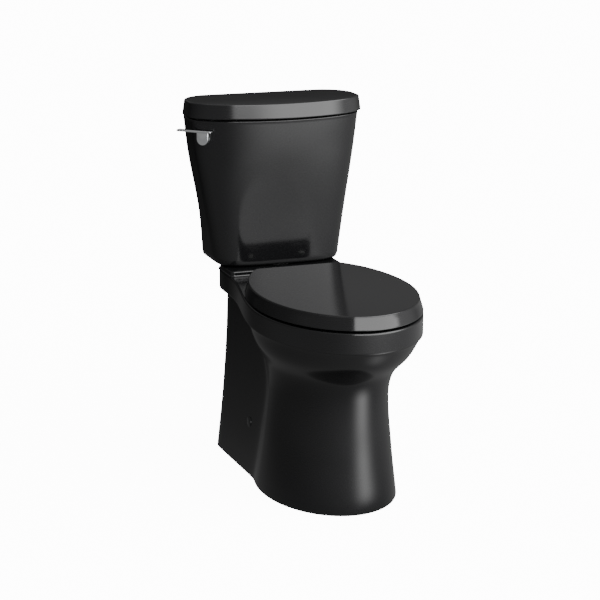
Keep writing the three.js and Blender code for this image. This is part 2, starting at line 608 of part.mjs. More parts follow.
function makeSeatRing() {
  const rear = 97;
  const outer = loft([
    { z: RING.bottom, points: seatOutline(SEAT.over - RING.clear - 3, rear) },
    { z: RING.bottom + 4, points: seatOutline(SEAT.over - RING.clear, rear) },
    { z: RING.top - 5, points: seatOutline(1 - RING.clear, rear) },
    { z: RING.top, points: seatOutline(-RING.clear - 4, rear) },
  ]);
  const hole = { half: RING.holeHalf, centre: RIM_CENTRE, front: RING.holeFront, rear: RING.holeRear };
  const inner = loft([
    { z: RING.bottom - 1, points: oval(shrink(hole, -3), 40) },
    { z: RING.top - 6, points: oval(hole, 40) },
    { z: RING.top + 1, points: oval(shrink(hole, -8), 40) },
  ]);
  const lugs = [-1, 1].map((side) => hingeLug(
    ...[side * 44, side * 57.4].sort((a, b) => a - b), [rear - 6, HINGE.y, 430.5, RING.top - 1]));
  piece('seat_ring', cut(join(cut(outer, inner), ...lugs), lugBores()), seatPlastic);
  const pads = {
    front_left: [-88, -292], front_right: [88, -292], rear_left: [-122, 10], rear_right: [122, 10],
  };
  for (const [corner, [x, y]] of Object.entries(pads)) {
    piece(`ring_bumper_${corner}`, rod(x, y, RIM_TOP + GAP, RING.bottom - GAP, 7, 14), rubber);
  }
}

function makeHinges() {
  for (const side of [-1, 1]) {
    const end = side < 0 ? 'left' : 'right';
    const [x0, x1] = [side * 58, side * 82].sort((a, b) => a - b);
    const { x, y } = HINGE.bolt;
    const foot = box(x0, x1, 106, 146, RIM_TOP + GAP, 428);
    const ear = join(box(x0, x1, HINGE.y - 7, HINGE.y + 7, 424, HINGE.z),
      crossRod(x0, x1, HINGE.y, HINGE.z, HINGE.radius, 20));
    const pocket = rod(side * x, y, RIM_TOP, 430, 5, 16);
    piece(`hinge_post_${end}`, cut(join(foot, ear), lugBores(), pocket), seatPlastic);
    const [p0, p1] = [side * 43.5, side * 94.5].sort((a, b) => a - b);
    piece(`hinge_pin_${end}`, crossRod(p0, p1, HINGE.y, HINGE.z, HINGE.pin, 16), brass);
    const shank = rod(side * x, y, 352, 429, 4, 12);
    piece(`seat_bolt_${end}`, join(shank, rod(side * x, y, 428 + GAP, 431, 8, 16)), whitePlastic);
    piece(`seat_nut_${end}`, nut(side * x, y, 364, RIM_BOTTOM - 2 * GAP, 4.4, 11), whitePlastic);
  }
}

makeBowl();
makeSideCaps();
makeTank();
makeTankLid();
makeLever();
makeFlushValve();
makeFillValve();
makeRefillTube();
makeTankBolts();
makeSeatLid();
makeSeatRing();
makeHinges();
toilet.position.y = -OUTLET.y;

export default toilet;
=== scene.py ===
import json
import math

import bpy
import bmesh
import numpy as np
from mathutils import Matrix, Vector


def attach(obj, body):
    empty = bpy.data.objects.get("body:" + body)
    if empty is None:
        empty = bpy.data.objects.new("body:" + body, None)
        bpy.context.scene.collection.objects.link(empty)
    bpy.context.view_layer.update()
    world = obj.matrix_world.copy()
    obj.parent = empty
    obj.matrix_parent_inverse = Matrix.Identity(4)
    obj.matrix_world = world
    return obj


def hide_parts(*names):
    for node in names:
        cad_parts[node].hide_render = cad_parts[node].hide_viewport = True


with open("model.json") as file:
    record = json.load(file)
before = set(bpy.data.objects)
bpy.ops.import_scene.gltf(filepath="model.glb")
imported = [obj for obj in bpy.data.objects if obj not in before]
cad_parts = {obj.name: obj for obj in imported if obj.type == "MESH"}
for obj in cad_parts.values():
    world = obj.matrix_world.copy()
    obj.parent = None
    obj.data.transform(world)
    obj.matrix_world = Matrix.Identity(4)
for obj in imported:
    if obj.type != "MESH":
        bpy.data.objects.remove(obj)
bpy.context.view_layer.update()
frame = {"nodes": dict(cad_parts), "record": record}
print("frame loaded:", len(frame["nodes"]), "nodes")

# Sizes below are in millimetres. The outlines are drawn about the middle of the footprint, and
# outletShift moves them so that the waste outlet is the origin.
outletShift = Vector((0.0, -80.0, 0.0))
chinaThickness = 11.0


def toMetres(points):
    return (np.asarray(points, float) + np.array(outletShift)) / 1000


# camera and studio
studio = {
    "target": (-0.0341, -0.0800, 0.4003),
    "azimuth": -19.6236,
    "elevation": 14.3313,
    "distance": 4.0432,
    "lens": 113.08,
    "backdrop": 12.0,
}


def makeCamera():
    lens = bpy.data.cameras.new("camera")
    lens.lens = studio["lens"]
    lens.sensor_width = 36
    lens.clip_end = 60
    camera = bpy.data.objects.new("camera", lens)
    bpy.context.scene.collection.objects.link(camera)
    turn, lift = math.radians(studio["azimuth"]), math.radians(studio["elevation"])
    back = Vector((math.sin(turn) * math.cos(lift), -math.cos(turn) * math.cos(lift), math.sin(lift)))
    camera.location = Vector(studio["target"]) + back * studio["distance"]
    camera.rotation_euler = back.to_track_quat("Z", "Y").to_euler()
    bpy.context.scene.camera = camera


# shader arithmetic
class Wire:
    # one output socket; arithmetic on it adds Math nodes to its tree
    def __init__(self, tree, socket):
        self.tree = tree
        self.socket = socket

    def node(self, kind, settings=None, sockets=None, output=0):
        made = self.tree.nodes.new(kind)
        for name, value in (settings or {}).items():
            if name == "stops":
                ramp = made.color_ramp
                for extra in value[2:]:
                    ramp.elements.new(0.5)
                for stop, (place, colour) in zip(ramp.elements, value):
                    stop.position = place
                    stop.color = colour
            else:
                setattr(made, name, value)
        for name, value in (sockets or {}).items():
            if isinstance(value, Wire):
                self.tree.links.new(value.socket, made.inputs[name])
            else:
                made.inputs[name].default_value = value
        return Wire(self.tree, made.outputs[output])

    def calc(self, operation, *values):
        return self.node("ShaderNodeMath", {"operation": operation}, dict(enumerate(values)))

    def __add__(self, other):
        return self.calc("ADD", self, other)

    def __radd__(self, other):
        return self.calc("ADD", other, self)

    def __sub__(self, other):
        return self.calc("SUBTRACT", self, other)

    def __rsub__(self, other):
        return self.calc("SUBTRACT", other, self)

    def __mul__(self, other):
        return self.calc("MULTIPLY", self, other)

    def __rmul__(self, other):
        return self.calc("MULTIPLY", other, self)

    def step(self, low, high):
        # 0 below low, 1 above high, smooth between
        return self.node("ShaderNodeMapRange", {"interpolation_type": "SMOOTHSTEP"},
                         {"Value": self, "From Min": low, "From Max": high})

    def noise(self, scale, detail=2.0, roughness=0.5):
        return self.node("ShaderNodeTexNoise", None,
                         {"Vector": self, "Scale": scale, "Detail": detail, "Roughness": roughness})

    def blend(self, first, second):
        # this wire picks between two colours
        return self.node("ShaderNodeMix", {"data_type": "RGBA"}, {0: self, 6: first, 7: second}, output=2)

    def bump(self, strength, distance):
        return self.node("ShaderNodeBump", None,
                         {"Height": self, "Strength": strength, "Distance": distance})


def rgba(red, green, blue):
    return (red, green, blue, 1.0)


def makeFinish(name, fixed, pattern):
    material = bpy.data.materials.new(name)
    material.use_nodes = True
    tree = material.node_tree
    shader = tree.nodes["Principled BSDF"]
    for socket, value in fixed.items():
        shader.inputs[socket].default_value = value
    place = Wire(tree, tree.nodes.new("ShaderNodeTexCoord").outputs["Object"])
    for socket, wire in pattern(place).items():
        tree.links.new(wire.socket, shader.inputs[socket])
    return material


glazeLook = {"dark": rgba(0.0035, 0.0036, 0.0040), "pale": rgba(0.0060, 0.0060, 0.0064),
             "cloud": 9.0, "ripple": 26.0, "rippleDepth": 0.00025, "speck": 900.0}


def glazePattern(place):
    cloud = place.noise(glazeLook["cloud"], 3.0)
    ripple = place.noise(glazeLook["ripple"], 1.0)
    speck = place.noise(glazeLook["speck"], 1.0).step(0.72, 0.80)
    return {
        "Base Color": cloud.blend(glazeLook["dark"], glazeLook["pale"]),
        "Roughness": 0.13 + 0.03 * cloud + 0.08 * speck,
        "Normal": ripple.bump(0.16, glazeLook["rippleDepth"]),
    }


seatLook = {"dark": rgba(0.0040, 0.0040, 0.0044), "pale": rgba(0.0070, 0.0070, 0.0074),
            "cloud": 14.0, "peel": 420.0, "peelDepth": 0.00002}


def seatPattern(place):
    cloud = place.noise(seatLook["cloud"], 3.0)
    peel = place.noise(seatLook["peel"], 1.0)
    return {
        "Base Color": cloud.blend(seatLook["dark"], seatLook["pale"]),
        "Roughness": 0.10 + 0.04 * cloud,
        "Normal": peel.bump(0.10, seatLook["peelDepth"]),
    }


def chromePattern(place):
    cloud = place.noise(60.0, 3.0)
    swirl = place.noise(700.0, 2.0)
    return {
        "Base Color": cloud.blend(rgba(0.74, 0.75, 0.77), rgba(0.86, 0.87, 0.88)),
        "Roughness": 0.05 + 0.08 * cloud,
        "Normal": swirl.bump(0.05, 0.00002),
    }


# scale of the clouding, its detail, dark and pale colour, roughness and its spread, and the surface grain
mattLook = {
    "brass": {"cloud": (45.0, 4.0), "dark": rgba(0.42, 0.28, 0.10), "pale": rgba(0.72, 0.53, 0.24),
              "rough": (0.22, 0.25), "grain": (900.0, 0.12, 0.00004)},
    "rubber": {"cloud": (70.0, 3.0), "dark": rgba(0.012, 0.012, 0.012), "pale": rgba(0.030, 0.030, 0.031),
               "rough": (0.62, 0.25), "grain": (1500.0, 0.25, 0.00006)},
    "hose": {"cloud": (50.0, 3.0), "dark": rgba(0.020, 0.020, 0.022), "pale": rgba(0.045, 0.045, 0.048),
             "rough": (0.38, 0.20), "grain": (1100.0, 0.15, 0.00004)},
    "blue": {"cloud": (40.0, 3.0), "dark": rgba(0.045, 0.13, 0.34), "pale": rgba(0.07, 0.18, 0.44),
             "rough": (0.38, 0.15), "grain": (1300.0, 0.18, 0.00004)},
    "white": {"cloud": (40.0, 3.0), "dark": rgba(0.66, 0.66, 0.61), "pale": rgba(0.80, 0.80, 0.77),
              "rough": (0.36, 0.16), "grain": (1300.0, 0.18, 0.00004)},
}


def mattPattern(kind):
    look = mattLook[kind]

    def pattern(place):
        cloud = place.noise(*look["cloud"])
        grainScale, strength, depth = look["grain"]
        return {
            "Base Color": cloud.blend(look["dark"], look["pale"]),
            "Roughness": look["rough"][0] + look["rough"][1] * cloud,
            "Normal": place.noise(grainScale, 2.0).bump(strength, depth),
        }
    return pattern


finishes = {
    "glazed_china": makeFinish("glazedChina", {"IOR": 1.52}, glazePattern),
    "seat_plastic": makeFinish("seatPlastic", {"IOR": 1.50}, seatPattern),
    "chrome": makeFinish("chromePlate", {"Metallic": 1.0}, chromePattern),
    "brass": makeFinish("bareBrass", {"Metallic": 1.0}, mattPattern("brass")),
    "rubber": makeFinish("blackRubber", {}, mattPattern("rubber")),
    "hose": makeFinish("satinHose", {}, mattPattern("hose")),
    "coloured_plastic": makeFinish("bluePlastic", {}, mattPattern("blue")),
    "white_plastic": makeFinish("whitePlastic", {}, mattPattern("white")),
}
slotOf = {part["node"]: part["material_slot"] for part in frame["record"]["subparts"]}
print("finishes made:", len(finishes))


# mesh helpers
def signedVolume(points, faces):
    total = 0.0
    for face in faces:
        a = points[face[0]]
        for i in range(1, len(face) - 1):
            total += float(np.dot(a, np.cross(points[face[i]], points[face[i + 1]])))
    return total / 6


def skinFaces(counts):
    # counts: points in each ring, 1 at a pole; the rings follow each other
    faces = []
    start = 0
    for here, following in zip(counts, counts[1:]):
        below, above = start, start + here
        if here == 1:
            faces += [(below, above + i, above + (i + 1) % following) for i in range(following)]
        elif following == 1:
            faces += [(below + i, above, below + (i + 1) % here) for i in range(here)]
        else:
            faces += [(below + i, above + i, above + (i + 1) % here, below + (i + 1) % here)
                      for i in range(here)]
        start = above
    return faces


def meshFrom(parts):
    # parts: (points in metres, faces); each is closed and is turned to face outwards
    allPoints = []
    allFaces = []
    for points, faces in parts:
        if signedVolume(points, faces) < 0:
            faces = [tuple(reversed(face)) for face in faces]
        base = len(allPoints)
        allPoints += [tuple(point) for point in points]
        allFaces += [tuple(base + i for i in face) for face in faces]
    mesh = bpy.data.meshes.new("mesh")
    mesh.from_pydata(allPoints, [], allFaces)
    mesh.validate()
    return mesh


def addPiece(name, mesh, body, slot, nodes, crease=38.0):
    mesh.name = name
    mesh.materials.clear()
    mesh.materials.append(finishes[slot])
    mesh.polygons.foreach_set("use_smooth", [True] * len(mesh.polygons))
    mesh.set_sharp_from_angle(angle=math.radians(crease))
    piece = bpy.data.objects.new(name, mesh)
    bpy.context.scene.collection.objects.link(piece)
    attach(piece, body)
    if nodes:
        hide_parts(*nodes)
    return piece


def skin(rings):
    # one closed skin through rings of millimetre points, with a single point at each end
    points = np.concatenate([toMetres(ring) for ring in rings])
    return points, skinFaces([len(ring) for ring in rings])


def tubeSkin(rings):
    # a closed ring of rings, such as a seat: the last ring joins the first
    points = np.concatenate([toMetres(ring) for ring in rings])
    count = len(rings[0])
    faces = []
    for level in range(len(rings)):
        below, above = level * count, ((level + 1) % len(rings)) * count
        faces += [(below + i, above + i, above + (i + 1) % count, below + (i + 1) % count)
                  for i in range(count)]
    return points, faces


def flat(outline, z):
    # an outline of (x, y) at one height, or at a height for each point
    return np.column_stack([outline, np.broadcast_to(z, len(outline))])


def between(first, second, share):
    return first * (1 - share) + second * share


def smooth(low, high, value):
    t = np.clip((value - low) / (high - low), 0, 1)
    return t * t * (3 - 2 * t)


def resample(points, count, closed=True):
    # the same outline with points evenly spaced along it
    points = np.asarray(points, float)
    if closed:
        points = np.vstack([points, points[:1]])
    run = np.concatenate([[0], np.cumsum(np.linalg.norm(np.diff(points, axis=0), axis=1))])
    wanted = np.linspace(0, run[-1], count + 1)[:-1] if closed else np.linspace(0, run[-1], count)
    return np.column_stack([np.interp(wanted, run, points[:, k]) for k in range(points.shape[1])])


def stationAt(stations, z):
    # the row of sizes at height z, smooth between the stations; the first column is the height
    table = np.array(stations, float)
    heights = table[:, 0]
    i = int(np.clip(np.searchsorted(heights, z), 1, len(heights) - 1))
    low, high = table[i - 1], table[i]
    before, after = table[max(0, i - 2)], table[min(len(table) - 1, i + 1)]
    span = high[0] - low[0]
    t = (z - low[0]) / span
    slopeIn = (high - before) / (high[0] - before[0]) * span
    slopeOut = (after - low) / (after[0] - low[0]) * span
    value = ((2 * t ** 3 - 3 * t ** 2 + 1) * low + (t ** 3 - 2 * t ** 2 + t) * slopeIn
             + (-2 * t ** 3 + 3 * t ** 2) * high + (t ** 3 - t ** 2) * slopeOut)
    return value[1:]


def softMax(a, b, width):
    return (a + b + np.sqrt((a - b) ** 2 + width ** 2)) / 2


def softMin(a, b, width):
    return (a + b - np.sqrt((a - b) ** 2 + width ** 2)) / 2


def joined(mesh, cutters, operation):
    # a Manifold boolean of a mesh with each cutter mesh, as a plain mesh
    target = bpy.data.objects.new("booleanTarget", mesh)
    bpy.context.scene.collection.objects.link(target)
    tools = []
    for cutter in cutters:
        tool = bpy.data.objects.new("booleanTool", cutter)
        bpy.context.scene.collection.objects.link(tool)
        modifier = target.modifiers.new("boolean", "BOOLEAN")
        modifier.operation = operation
        modifier.object = tool
        modifier.solver = "MANIFOLD"
        tools.append(tool)
    graph = bpy.context.evaluated_depsgraph_get()
    result = bpy.data.meshes.new_from_object(target.evaluated_get(graph))
    for item in [target, *tools]:
        bpy.data.objects.remove(item)
    return result


def circle(x, y, radius, sides=48):
    angles = np.linspace(0, 2 * math.pi, sides, endpoint=False)
    return np.column_stack([x + radius * np.cos(angles), y + radius * np.sin(angles)])


def rodMesh(x, y, low, high, radius, sides=48):
    ring = circle(x, y, radius, sides)
    rings = [[(x, y, low)], flat(ring, low), flat(ring, high), [(x, y, high)]]
    return meshFrom([skin(rings)])


# where the holes and fixings are: (x, y) of each, and the radii of their holes
fixing = {"flush": (0, 262), "supply": (-100, 318), "tankBolt": (66, 296), "seatBolt": (70, 131),
          "tankBoltHole": 5.6, "seatBoltHole": 6.5}


def onBothSides(name, low, high, sides=24):
    x, y = fixing[name]
    return [rodMesh(side * x, y, low, high, fixing[name + "Hole"], sides) for side in (-1, 1)]


# bowl
bowl = {
    "rimTop": 418.0, "rimBottom": 374.0, "rimCentre": -113.0, "rimHalf": 174.5, "front": -365.0,
    "deckHalf": 134.0, "deckRear": 325.0, "deckCorner": 75.0, "deckMerge": 200.0,
    "baseRear": 276.0, "taper": 0.035, "taperFrom": -40.0,
    "creaseFill": 5.0, "cornerFill": 16.0, "rimEdge": 4.0, "underEdge": 3.0, "rimShoulder": 2.2,
    "mouthEdge": 8.0, "middle": -40.0, "sump": (0, -86), "sumpTop": 158.0, "sumpUnder": 147.0,
    # height, half width, widest line, front, rear
    "pedestal": [(0, 146, -62, -267, 143), (110, 132, -71, -256, 114), (230, 121, -81, -254, 92),
                 (285, 130, -87, -274, 100), (330, 155, -103, -327, 121), (374, 174.5, -113, -365, 139)],
    "base": [(0, 144.5), (130, 130), (260, 120), (374, 115.5)],
    "basin": [(158, 24, -86, -118, -54), (172, 40, -90, -142, -44), (215, 62, -96, -184, -18),
              (290, 92, -104, -250, 20), (370, 113, -113, -297, 44), (419, 113, -113, -301, 47)],
    "stepHalf": 132.0, "stepFront": 177.0, "stepTop": 429.5, "stepNose": 10.0, "stepCorner": 73.0,
    "stepEdge": 3.0, "stepFillet": 4.0, "stepMiddle": (0, 250),
}


def ovalRadius(angles, row, shrink=0.0):
    # distance from the bowl's middle to an oval, in each direction
    half, centre, front, rear = row
    half = half - shrink
    ends = {True: centre - front - shrink, False: rear - centre - shrink}
    offset = bowl["middle"] - centre
    best = None
    for ahead, reach in ends.items():
        a = (np.cos(angles) / half) ** 2 + (np.sin(angles) / reach) ** 2
        b = 2 * np.sin(angles) * offset / reach ** 2
        c = (offset / reach) ** 2 - 1
        radius = (-b + np.sqrt(np.maximum(b * b - 4 * a * c, 0))) / (2 * a)
        inFront = bowl["middle"] + radius * np.sin(angles) < centre
        best = radius if best is None else np.where(inFront, best, radius)
    return best


def baseRadius(angles, half, shrink=0.0):
    near = half - shrink - bowl["taper"] * (bowl["baseRear"] - bowl["taperFrom"])
    across = np.abs(np.cos(angles)) - bowl["taper"] * np.sin(angles)
    edge = near + bowl["taper"] * (bowl["middle"] - bowl["taperFrom"])
    side = edge / np.maximum(across, 1e-3)
    back = (bowl["baseRear"] - shrink - bowl["middle"]) / np.maximum(np.sin(angles), 1e-3)
    box = softMin(np.minimum(side, 2000), np.minimum(back, 2000), bowl["cornerFill"])
    return box * smooth(-0.6, 0.0, np.sin(angles))  # it fades away in front of the middle


def bowlAngles(z):
    # directions for one ring: closer together at the crease beside the pedestal and at the rear corner
    row = stationAt(bowl["pedestal"], min(z, bowl["rimBottom"]))
    half = stationAt(bowl["base"], min(z, bowl["rimBottom"]))[0]
    tries = np.radians(np.linspace(-60, 60, 2401))
    gap = baseRadius(tries, half) - ovalRadius(tries, row)
    crease = tries[np.argmax(gap > 0)]
    corner = math.atan2(bowl["baseRear"] - bowl["middle"], half)
    t = np.linspace(0, 1, 71)[:-1]
    first = -math.pi / 2 + (crease + math.pi / 2) * (1 - (1 - t) ** 1.5)
    t = np.linspace(0, 1, 43)[:-1]
    second = crease + (corner - crease) * (0.5 - 0.5 * np.cos(math.pi * t))
    t = np.linspace(0, 1, 23)
    third = corner + (math.pi / 2 - corner) * t ** 1.5
    right = np.concatenate([first, second, third])
    return np.concatenate([right, (math.pi - right)[-2:0:-1]])


def polar(angles, radius):
    return np.column_stack([radius * np.cos(angles), bowl["middle"] + radius * np.sin(angles)])


def wallOutline(z, shrink=0.0, shoulder=0.0):
    angles = bowlAngles(z)
    row = stationAt(bowl["pedestal"], min(z, bowl["rimBottom"]))
    half = stationAt(bowl["base"], min(z, bowl["rimBottom"]))[0]
    oval = ovalRadius(angles, row, shrink + shoulder)
    return polar(angles, softMax(oval, baseRadius(angles, half, shrink), bowl["creaseFill"]))


def deckCurve(inset=0.0):
    # the rim in front and the deck behind it, as one dense outline
    half, deck = bowl["rimHalf"] - inset, bowl["deckHalf"] - inset
    corner = bowl["deckCorner"] - inset
    u = np.linspace(-math.pi / 2, 0, 500)
    front = np.column_stack([half * np.cos(u), bowl["rimCentre"]
                             + (bowl["rimCentre"] - bowl["front"] - inset) * np.sin(u)])
    t = np.linspace(0, 1, 400)[1:]
    side = np.column_stack([deck + (half - deck) * (0.5 + 0.5 * np.cos(math.pi * t)),
                            bowl["rimCentre"] + (bowl["deckMerge"] - bowl["rimCentre"]) * t])
    u = np.linspace(0, math.pi / 2, 300)
    turn = np.column_stack([deck - corner + corner * np.cos(u),
                            bowl["deckRear"] - inset - corner + corner * np.sin(u)])
    back = np.array([[0.0, bowl["deckRear"] - inset]])
    return np.vstack([front, side, turn, back])


def deckOutline(angles, inset=0.0):
    curve = deckCurve(inset)
    seen = np.arctan2(curve[:, 1] - bowl["middle"], curve[:, 0])
    far = np.hypot(curve[:, 0], curve[:, 1] - bowl["middle"])
    order = np.argsort(seen)
    folded = np.where(angles > math.pi / 2, math.pi - angles, angles)
    return polar(angles, np.interp(folded, seen[order], far[order]))


def egg(angles, row, shrink=0.0):
    half, centre, front, rear = row
    reach = np.where(np.sin(angles) < 0, centre - front - shrink, rear - centre - shrink)
    return np.column_stack([(half - shrink) * np.cos(angles), centre + reach * np.sin(angles)])


def roundedEdge(count=5):
    # (inset share, height share) along a quarter round, from the upright wall to the flat top
    turns = np.linspace(0, math.pi / 2, count + 1)
    return [(1 - math.cos(t), math.sin(t)) for t in turns]


def bowlRings():
    top, under = bowl["rimTop"], bowl["rimBottom"]
    rimAngles = bowlAngles(under)
    rings = []
    # the hollow below: round the outside of the basin, out to the skirt and down to the foot
    base = (*bowl["sump"], bowl["sumpUnder"])
    skinFoot = flat(egg(bowlAngles(bowl["sumpTop"]), stationAt(bowl["basin"], 160), -chinaThickness),
                    bowl["sumpUnder"])
    rings.append([base])
    rings += [between(np.array([base]), skinFoot, s) for s in (0.4, 0.8, 0.95)]
    for z in np.linspace(bowl["sumpUnder"], 352, 18):
        rings.append(flat(egg(bowlAngles(z), stationAt(bowl["basin"], z + 11), -chinaThickness), z))
    ceiling = flat(wallOutline(352, chinaThickness), 353)
    rings += [between(rings[-1], ceiling, s) for s in (0.1, 0.9)]
    rings += [flat(wallOutline(z, chinaThickness), z) for z in np.linspace(350, 1.5, 30)]
    # the foot
    for inset, rise in ((chinaThickness, 0.3), (chinaThickness - 0.6, 0), (1.2, 0), (0.4, 0.4)):
        rings.append(flat(wallOutline(0, inset), rise))
    # the outside, up to the underside of the rim and deck
    for z in np.concatenate([[1.4, 3], np.linspace(6, under - 2, 64)]):
        rings.append(flat(wallOutline(z, 0, bowl["rimShoulder"] * smooth(330, 374, z)), z))
    wall = wallOutline(under, 0, bowl["rimShoulder"])
    edge = deckOutline(rimAngles)
    gap = np.linalg.norm(edge - wall, axis=1)
    fold = np.minimum(gap * 0.75, bowl["underEdge"])[:, None]
    inward = (wall - edge) / np.maximum(gap, 1e-6)[:, None]
    lip = edge + inward * fold
    rings.append(flat(wall, under - 0.4))
    rings += [flat(between(wall, lip, s), under) for s in (0.15, 0.85)]
    for share, lift in reversed(roundedEdge(4)):
        rings.append(np.column_stack([edge + inward * fold * share, under + fold[:, 0] * (1 - lift)]))
    rings += [flat(edge, z) for z in (under + 3.6, top - 25, top - bowl["rimEdge"] - 0.8)]
    for share, lift in roundedEdge(6):
        rings.append(flat(deckOutline(rimAngles, bowl["rimEdge"] * share),
                          top - bowl["rimEdge"] * (1 - lift)))
    rings.append(flat(deckOutline(rimAngles, bowl["rimEdge"] + 0.9), top))
    # over the rim to the mouth of the basin, and down inside it
    mouth = stationAt(bowl["basin"], top)
    broad = flat(egg(rimAngles, mouth, -bowl["mouthEdge"] - 1), top)
    rings += [between(rings[-1], broad, s) for s in (0.25, 0.5, 0.75, 1.0)]
    for share, lift in reversed(roundedEdge(6)):
        rings.append(flat(egg(rimAngles, mouth, -bowl["mouthEdge"] * share),
                          top - bowl["mouthEdge"] * (1 - lift)))
    for z in np.linspace(404, 162, 44):
        hollow = 6.0 * math.exp(-((z - 380) / 6.0) ** 2)
        rings.append(flat(egg(rimAngles, stationAt(bowl["basin"], z), -hollow), z))
    sump = rings[-1]
    rings += [flat(between(sump[:, :2], np.array(bowl["sump"]), s), bowl["sumpTop"] + rise)
              for s, rise in ((0.08, 1.5), (0.25, 0.2), (0.6, 0))]
    rings.append([(*bowl["sump"], bowl["sumpTop"])])
    return rings


def stepOutline(grow=0.0):
    half, front, rear = bowl["stepHalf"] + grow, bowl["stepFront"] - grow, bowl["deckRear"] - 2 + grow
    nose, corner = bowl["stepNose"] + grow, bowl["stepCorner"] + grow
    u = np.linspace(-math.pi / 2, 0, 14)
    ahead = np.column_stack([half - nose + nose * np.cos(u), front + nose + nose * np.sin(u)])
    u = np.linspace(0, math.pi / 2, 30)
    behind = np.column_stack([half - corner + corner * np.cos(u), rear - corner + corner * np.sin(u)])
    right = np.vstack([ahead, behind])
    return np.vstack([right, (right * [-1, 1])[::-1]])


def stepRings():
    low, top = bowl["rimTop"], bowl["stepTop"]
    middle = np.array([bowl["stepMiddle"]], float)
    rings = [[(*bowl["stepMiddle"], low - 6)], flat(between(stepOutline(0), middle, 0.2), low - 6),
             flat(stepOutline(-1.0), low - 6), flat(stepOutline(0), low - 0.5)]
    fillet = bowl["stepFillet"]
    rings.append(flat(stepOutline(fillet * 0.98), low - 0.2))
    for t in np.linspace(0, math.pi / 2, 6)[1:]:
        rings.append(flat(stepOutline(fillet * (1 - math.sin(t))), low + fillet * (1 - math.cos(t))))
    rings.append(flat(stepOutline(0), top - bowl["stepEdge"] - 0.5))
    for share, lift in roundedEdge(5):
        rings.append(flat(stepOutline(-bowl["stepEdge"] * share), top - bowl["stepEdge"] * (1 - lift)))
    rings.append(flat(stepOutline(-bowl["stepEdge"] - 0.8), top))
    rings.append(flat(between(stepOutline(-bowl["stepEdge"]), middle, 0.5), top))
    rings.append([(*bowl["stepMiddle"], top)])
    return rings


def makeBowl():
    body = meshFrom([skin(bowlRings())])
    step = meshFrom([skin(stepRings())])
    body = joined(body, [step], "UNION")
    holes = [rodMesh(*fixing["supply"], 340, 440, 24), rodMesh(*fixing["flush"], 415.5, 440, 51.5, 72),
             rodMesh(*fixing["flush"], 386, 440, 30)]
    holes += onBothSides("tankBolt", 340, 440) + onBothSides("seatBolt", 340, 430)
    return addPiece("bowlShell", joined(body, holes, "DIFFERENCE"), "china", "glazed_china",
                    ["bowl_rim", "bowl_skirt", "bowl_basin"])


# tank
tank = {
    "rear": 365.0, "middle": (0, 270), "bottom": 431.0, "top": 762.0, "floor": 445.0,
    # height, half width, front, side line, squareness, rear corner
    "wall": [(431, 144.5, 202, 286, 3.8, 12), (545, 162.5, 194, 279, 3.0, 50),
             (680, 185.5, 182, 269, 2.2, 46), (762, 196, 176.5, 265, 2.0, 52)],
    "footEdge": 9.0, "topEdge": 2.5, "counts": (75, 16, 12),  # points on the bow, a corner and a side
}


def bowOutline(half, front, side, square, corner, inset=0.0):
    # a flat back with round corners, straight sides and a bowed front
    h, r, rear = half - inset, max(corner - inset, 2.0), tank["rear"] - inset
    bowCount, turnCount, sideCount = tank["counts"]
    u = np.linspace(-math.pi / 2, 0, 900)
    bow = np.column_stack([h * np.abs(np.cos(u)) ** (2 / square),
                           side - (side - front - inset) * np.abs(np.sin(u)) ** (2 / square)])
    bow = resample(bow, bowCount, closed=False)
    v = np.linspace(0, math.pi / 2, turnCount)
    turn = np.column_stack([h - r + r * np.cos(v), rear - r + r * np.sin(v)])
    t = np.linspace(0, 1, sideCount)[1:-1, None]
    straight = bow[-1] * (1 - t) + turn[0] * t
    right = np.vstack([bow, straight, turn])
    across = np.linspace(1, 0, 10)[1:-1, None] * [turn[-1][0], 0] + [0, rear]
    right = np.vstack([right, across])
    return np.vstack([right, [[0, rear]], (right * [-1, 1])[:0:-1]])


def tankRings():
    low, high, edge = tank["bottom"], tank["top"], tank["footEdge"]
    centre = np.array([tank["middle"]], float)

    def outline(z, inset=0.0):
        return bowOutline(*stationAt(tank["wall"], z), inset=inset)

    foot = outline(low, edge)
    rings = [[(*tank["middle"], low)]] + [flat(between(centre, foot, s), low) for s in (0.4, 0.8, 0.97)]
    for share, lift in reversed(roundedEdge(7)):
        rings.append(flat(outline(low, edge * share), low + edge * (1 - lift)))
    rings += [flat(outline(z), z) for z in np.linspace(low + edge + 3, high - tank["topEdge"] - 0.6, 60)]
    for share, lift in roundedEdge(3):
        rings.append(flat(outline(high, tank["topEdge"] * share), high - tank["topEdge"] * (1 - lift)))
    rings.append(flat(outline(high, 3.4), high))
    for share, lift in reversed(roundedEdge(3)):
        rings.append(flat(outline(high, chinaThickness - 2 * share), high - 2 * (1 - lift)))
    inner = tank["floor"] + 12
    rings += [flat(outline(z, chinaThickness), z) for z in np.linspace(high - 6, inner, 24)]
    for share, lift in roundedEdge(5):
        rings.append(flat(outline(inner, chinaThickness + 12 * share), inner - 12 * lift))
    floor = rings[-1]
    rings += [between(floor, flat(np.repeat(centre, len(floor), 0), tank["floor"]), s) for s in (0.1, 0.6)]
    rings.append([(*tank["middle"], tank["floor"])])
    return rings


def makeTank():
    body = meshFrom([skin(tankRings())])
    holes = [rodMesh(*fixing["flush"], 425, 450, 27), rodMesh(*fixing["supply"], 425, 450, 12.6, 32)]
    holes += onBothSides("tankBolt", 425, 450)
    return addPiece("tankShell", joined(body, holes, "DIFFERENCE"), "china", "glazed_china", ["tank"])


tankLid = {"bottom": 766.0, "top": 800.0, "half": 198.5, "front": 171.75, "side": 265.0, "corner": 71.0,
           "lean": 4.5, "edge": 3.2, "underEdge": 1.6, "crown": 1.2, "wall": 18.0, "plate": 13.0}


